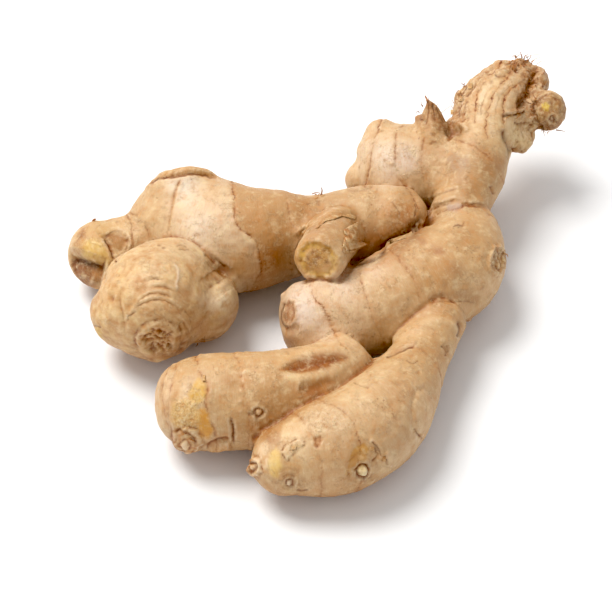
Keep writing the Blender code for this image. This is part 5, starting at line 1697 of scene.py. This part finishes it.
# torn edge of the arm's skin round the nub's foot
rags.sheet([[(301, 232.5, 0.1), (302.5, 236.5, 0.55)], [(308, 227.5, 0.1), (309, 230, 0.75)], [(316, 223.5, 0.1), (318, 228, 0.8)],
            [(324, 218.5, 0.1), (325.5, 221, 0.7)], [(332, 214.5, 0.1), (334.5, 219.5, 0.8)], [(341, 213, 0.1), (342, 216, 0.6)],
            [(350, 213.5, 0.1), (350.5, 218.5, 0.7)], [(357, 216.5, 0.1), (355.5, 220, 0.6)]], 0.25, (200, 142, 84), (238, 196, 140), 311, 0.42)
# ragged lip of the body's skin over the gap
rags.sheet([[(387, 249, 0.2), (384.5, 246, 0.9)], [(391, 243.5, 0.2), (389, 239.5, 1.1)], [(398, 240.5, 0.2), (397, 237, 0.9)],
            [(406, 238, 0.2), (405, 234.5, 1.2)], [(413, 234, 0.2), (411.5, 231, 0.8)]], 0.3, (206, 154, 98), (238, 200, 150), 321, 0.45)
# small flakes
for n, (u, v, w_, h_) in enumerate(((470, 86, 4, 6), (461, 99, 3.5, 5), (452, 112, 3, 5), (541, 118, 5, 3),
                                    (204, 378, 2.5, 6), (372, 449, 5, 4), (384, 459, 4, 5), (294, 448, 5, 4))):
    c0, c1 = ((214, 162, 104), (240, 202, 150)) if n % 2 else ((196, 138, 80), (230, 184, 126))
    rags.sheet([[(u - w_ / 2, v - h_ / 2, 0.12), (u + w_ / 2, v - h_ / 2, 0.5)], [(u - w_ / 2, v + h_ / 2, 0.5), (u + w_ / 2, v + h_ / 2, 0.12)]],
               0.2, c0, c1, 331 + 5 * n, 0.22, 5)
rags.piece("ginger_torn_skin", 0.6)

# =============================================================================
# floor and light
# =============================================================================
fm = mesh_from("floor", [(-3, -3, 0), (3, -3, 0), (3, 3, 0), (-3, 3, 0)], [(0, 1, 2, 3)])
floor = bpy.data.objects.new("floor", fm)
scene.collection.objects.link(floor)
fmat = bpy.data.materials.new("floor")
fmat.use_nodes = True
fb = fmat.node_tree.nodes["Principled BSDF"]
fb.inputs["Base Color"].default_value = (0.86, 0.862, 0.866, 1)
fb.inputs["Roughness"].default_value = 0.9
fb.inputs["Specular IOR Level"].default_value = 0.1
fm.materials.append(fmat)
floor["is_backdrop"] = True

world = bpy.data.worlds.new("world")
scene.world = world
world.use_nodes = True
world.node_tree.nodes["Background"].inputs["Color"].default_value = (1, 1, 1, 1)
world.node_tree.nodes["Background"].inputs["Strength"].default_value = 0.69


def area_light(name, place, aim, size, watts, colour=(1, 1, 1)):
    d = bpy.data.lights.new(name, "AREA")
    d.shape = "DISK"
    d.size = size
    d.energy = watts
    d.color = colour
    o = bpy.data.objects.new(name, d)
    scene.collection.objects.link(o)
    o.location = place
    o.rotation_euler = (Vector(aim) - Vector(place)).to_track_quat("-Z", "Y").to_euler()
    return o


area_light("key", (-0.62, 0.40, 1.38), (0, 0, 0), 0.95, 25.0, (1.0, 0.99, 0.97))

scene.view_settings.view_transform = "Standard"
scene.view_settings.look = "None"
scene.view_settings.exposure = 0.0
scene.view_settings.gamma = 1.0
scene.view_settings.use_curve_mapping = True        # a little contrast in the shadows
scene.view_settings.curve_mapping.black_level = (0.022, 0.022, 0.022)
scene.view_settings.curve_mapping.update()

low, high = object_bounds()
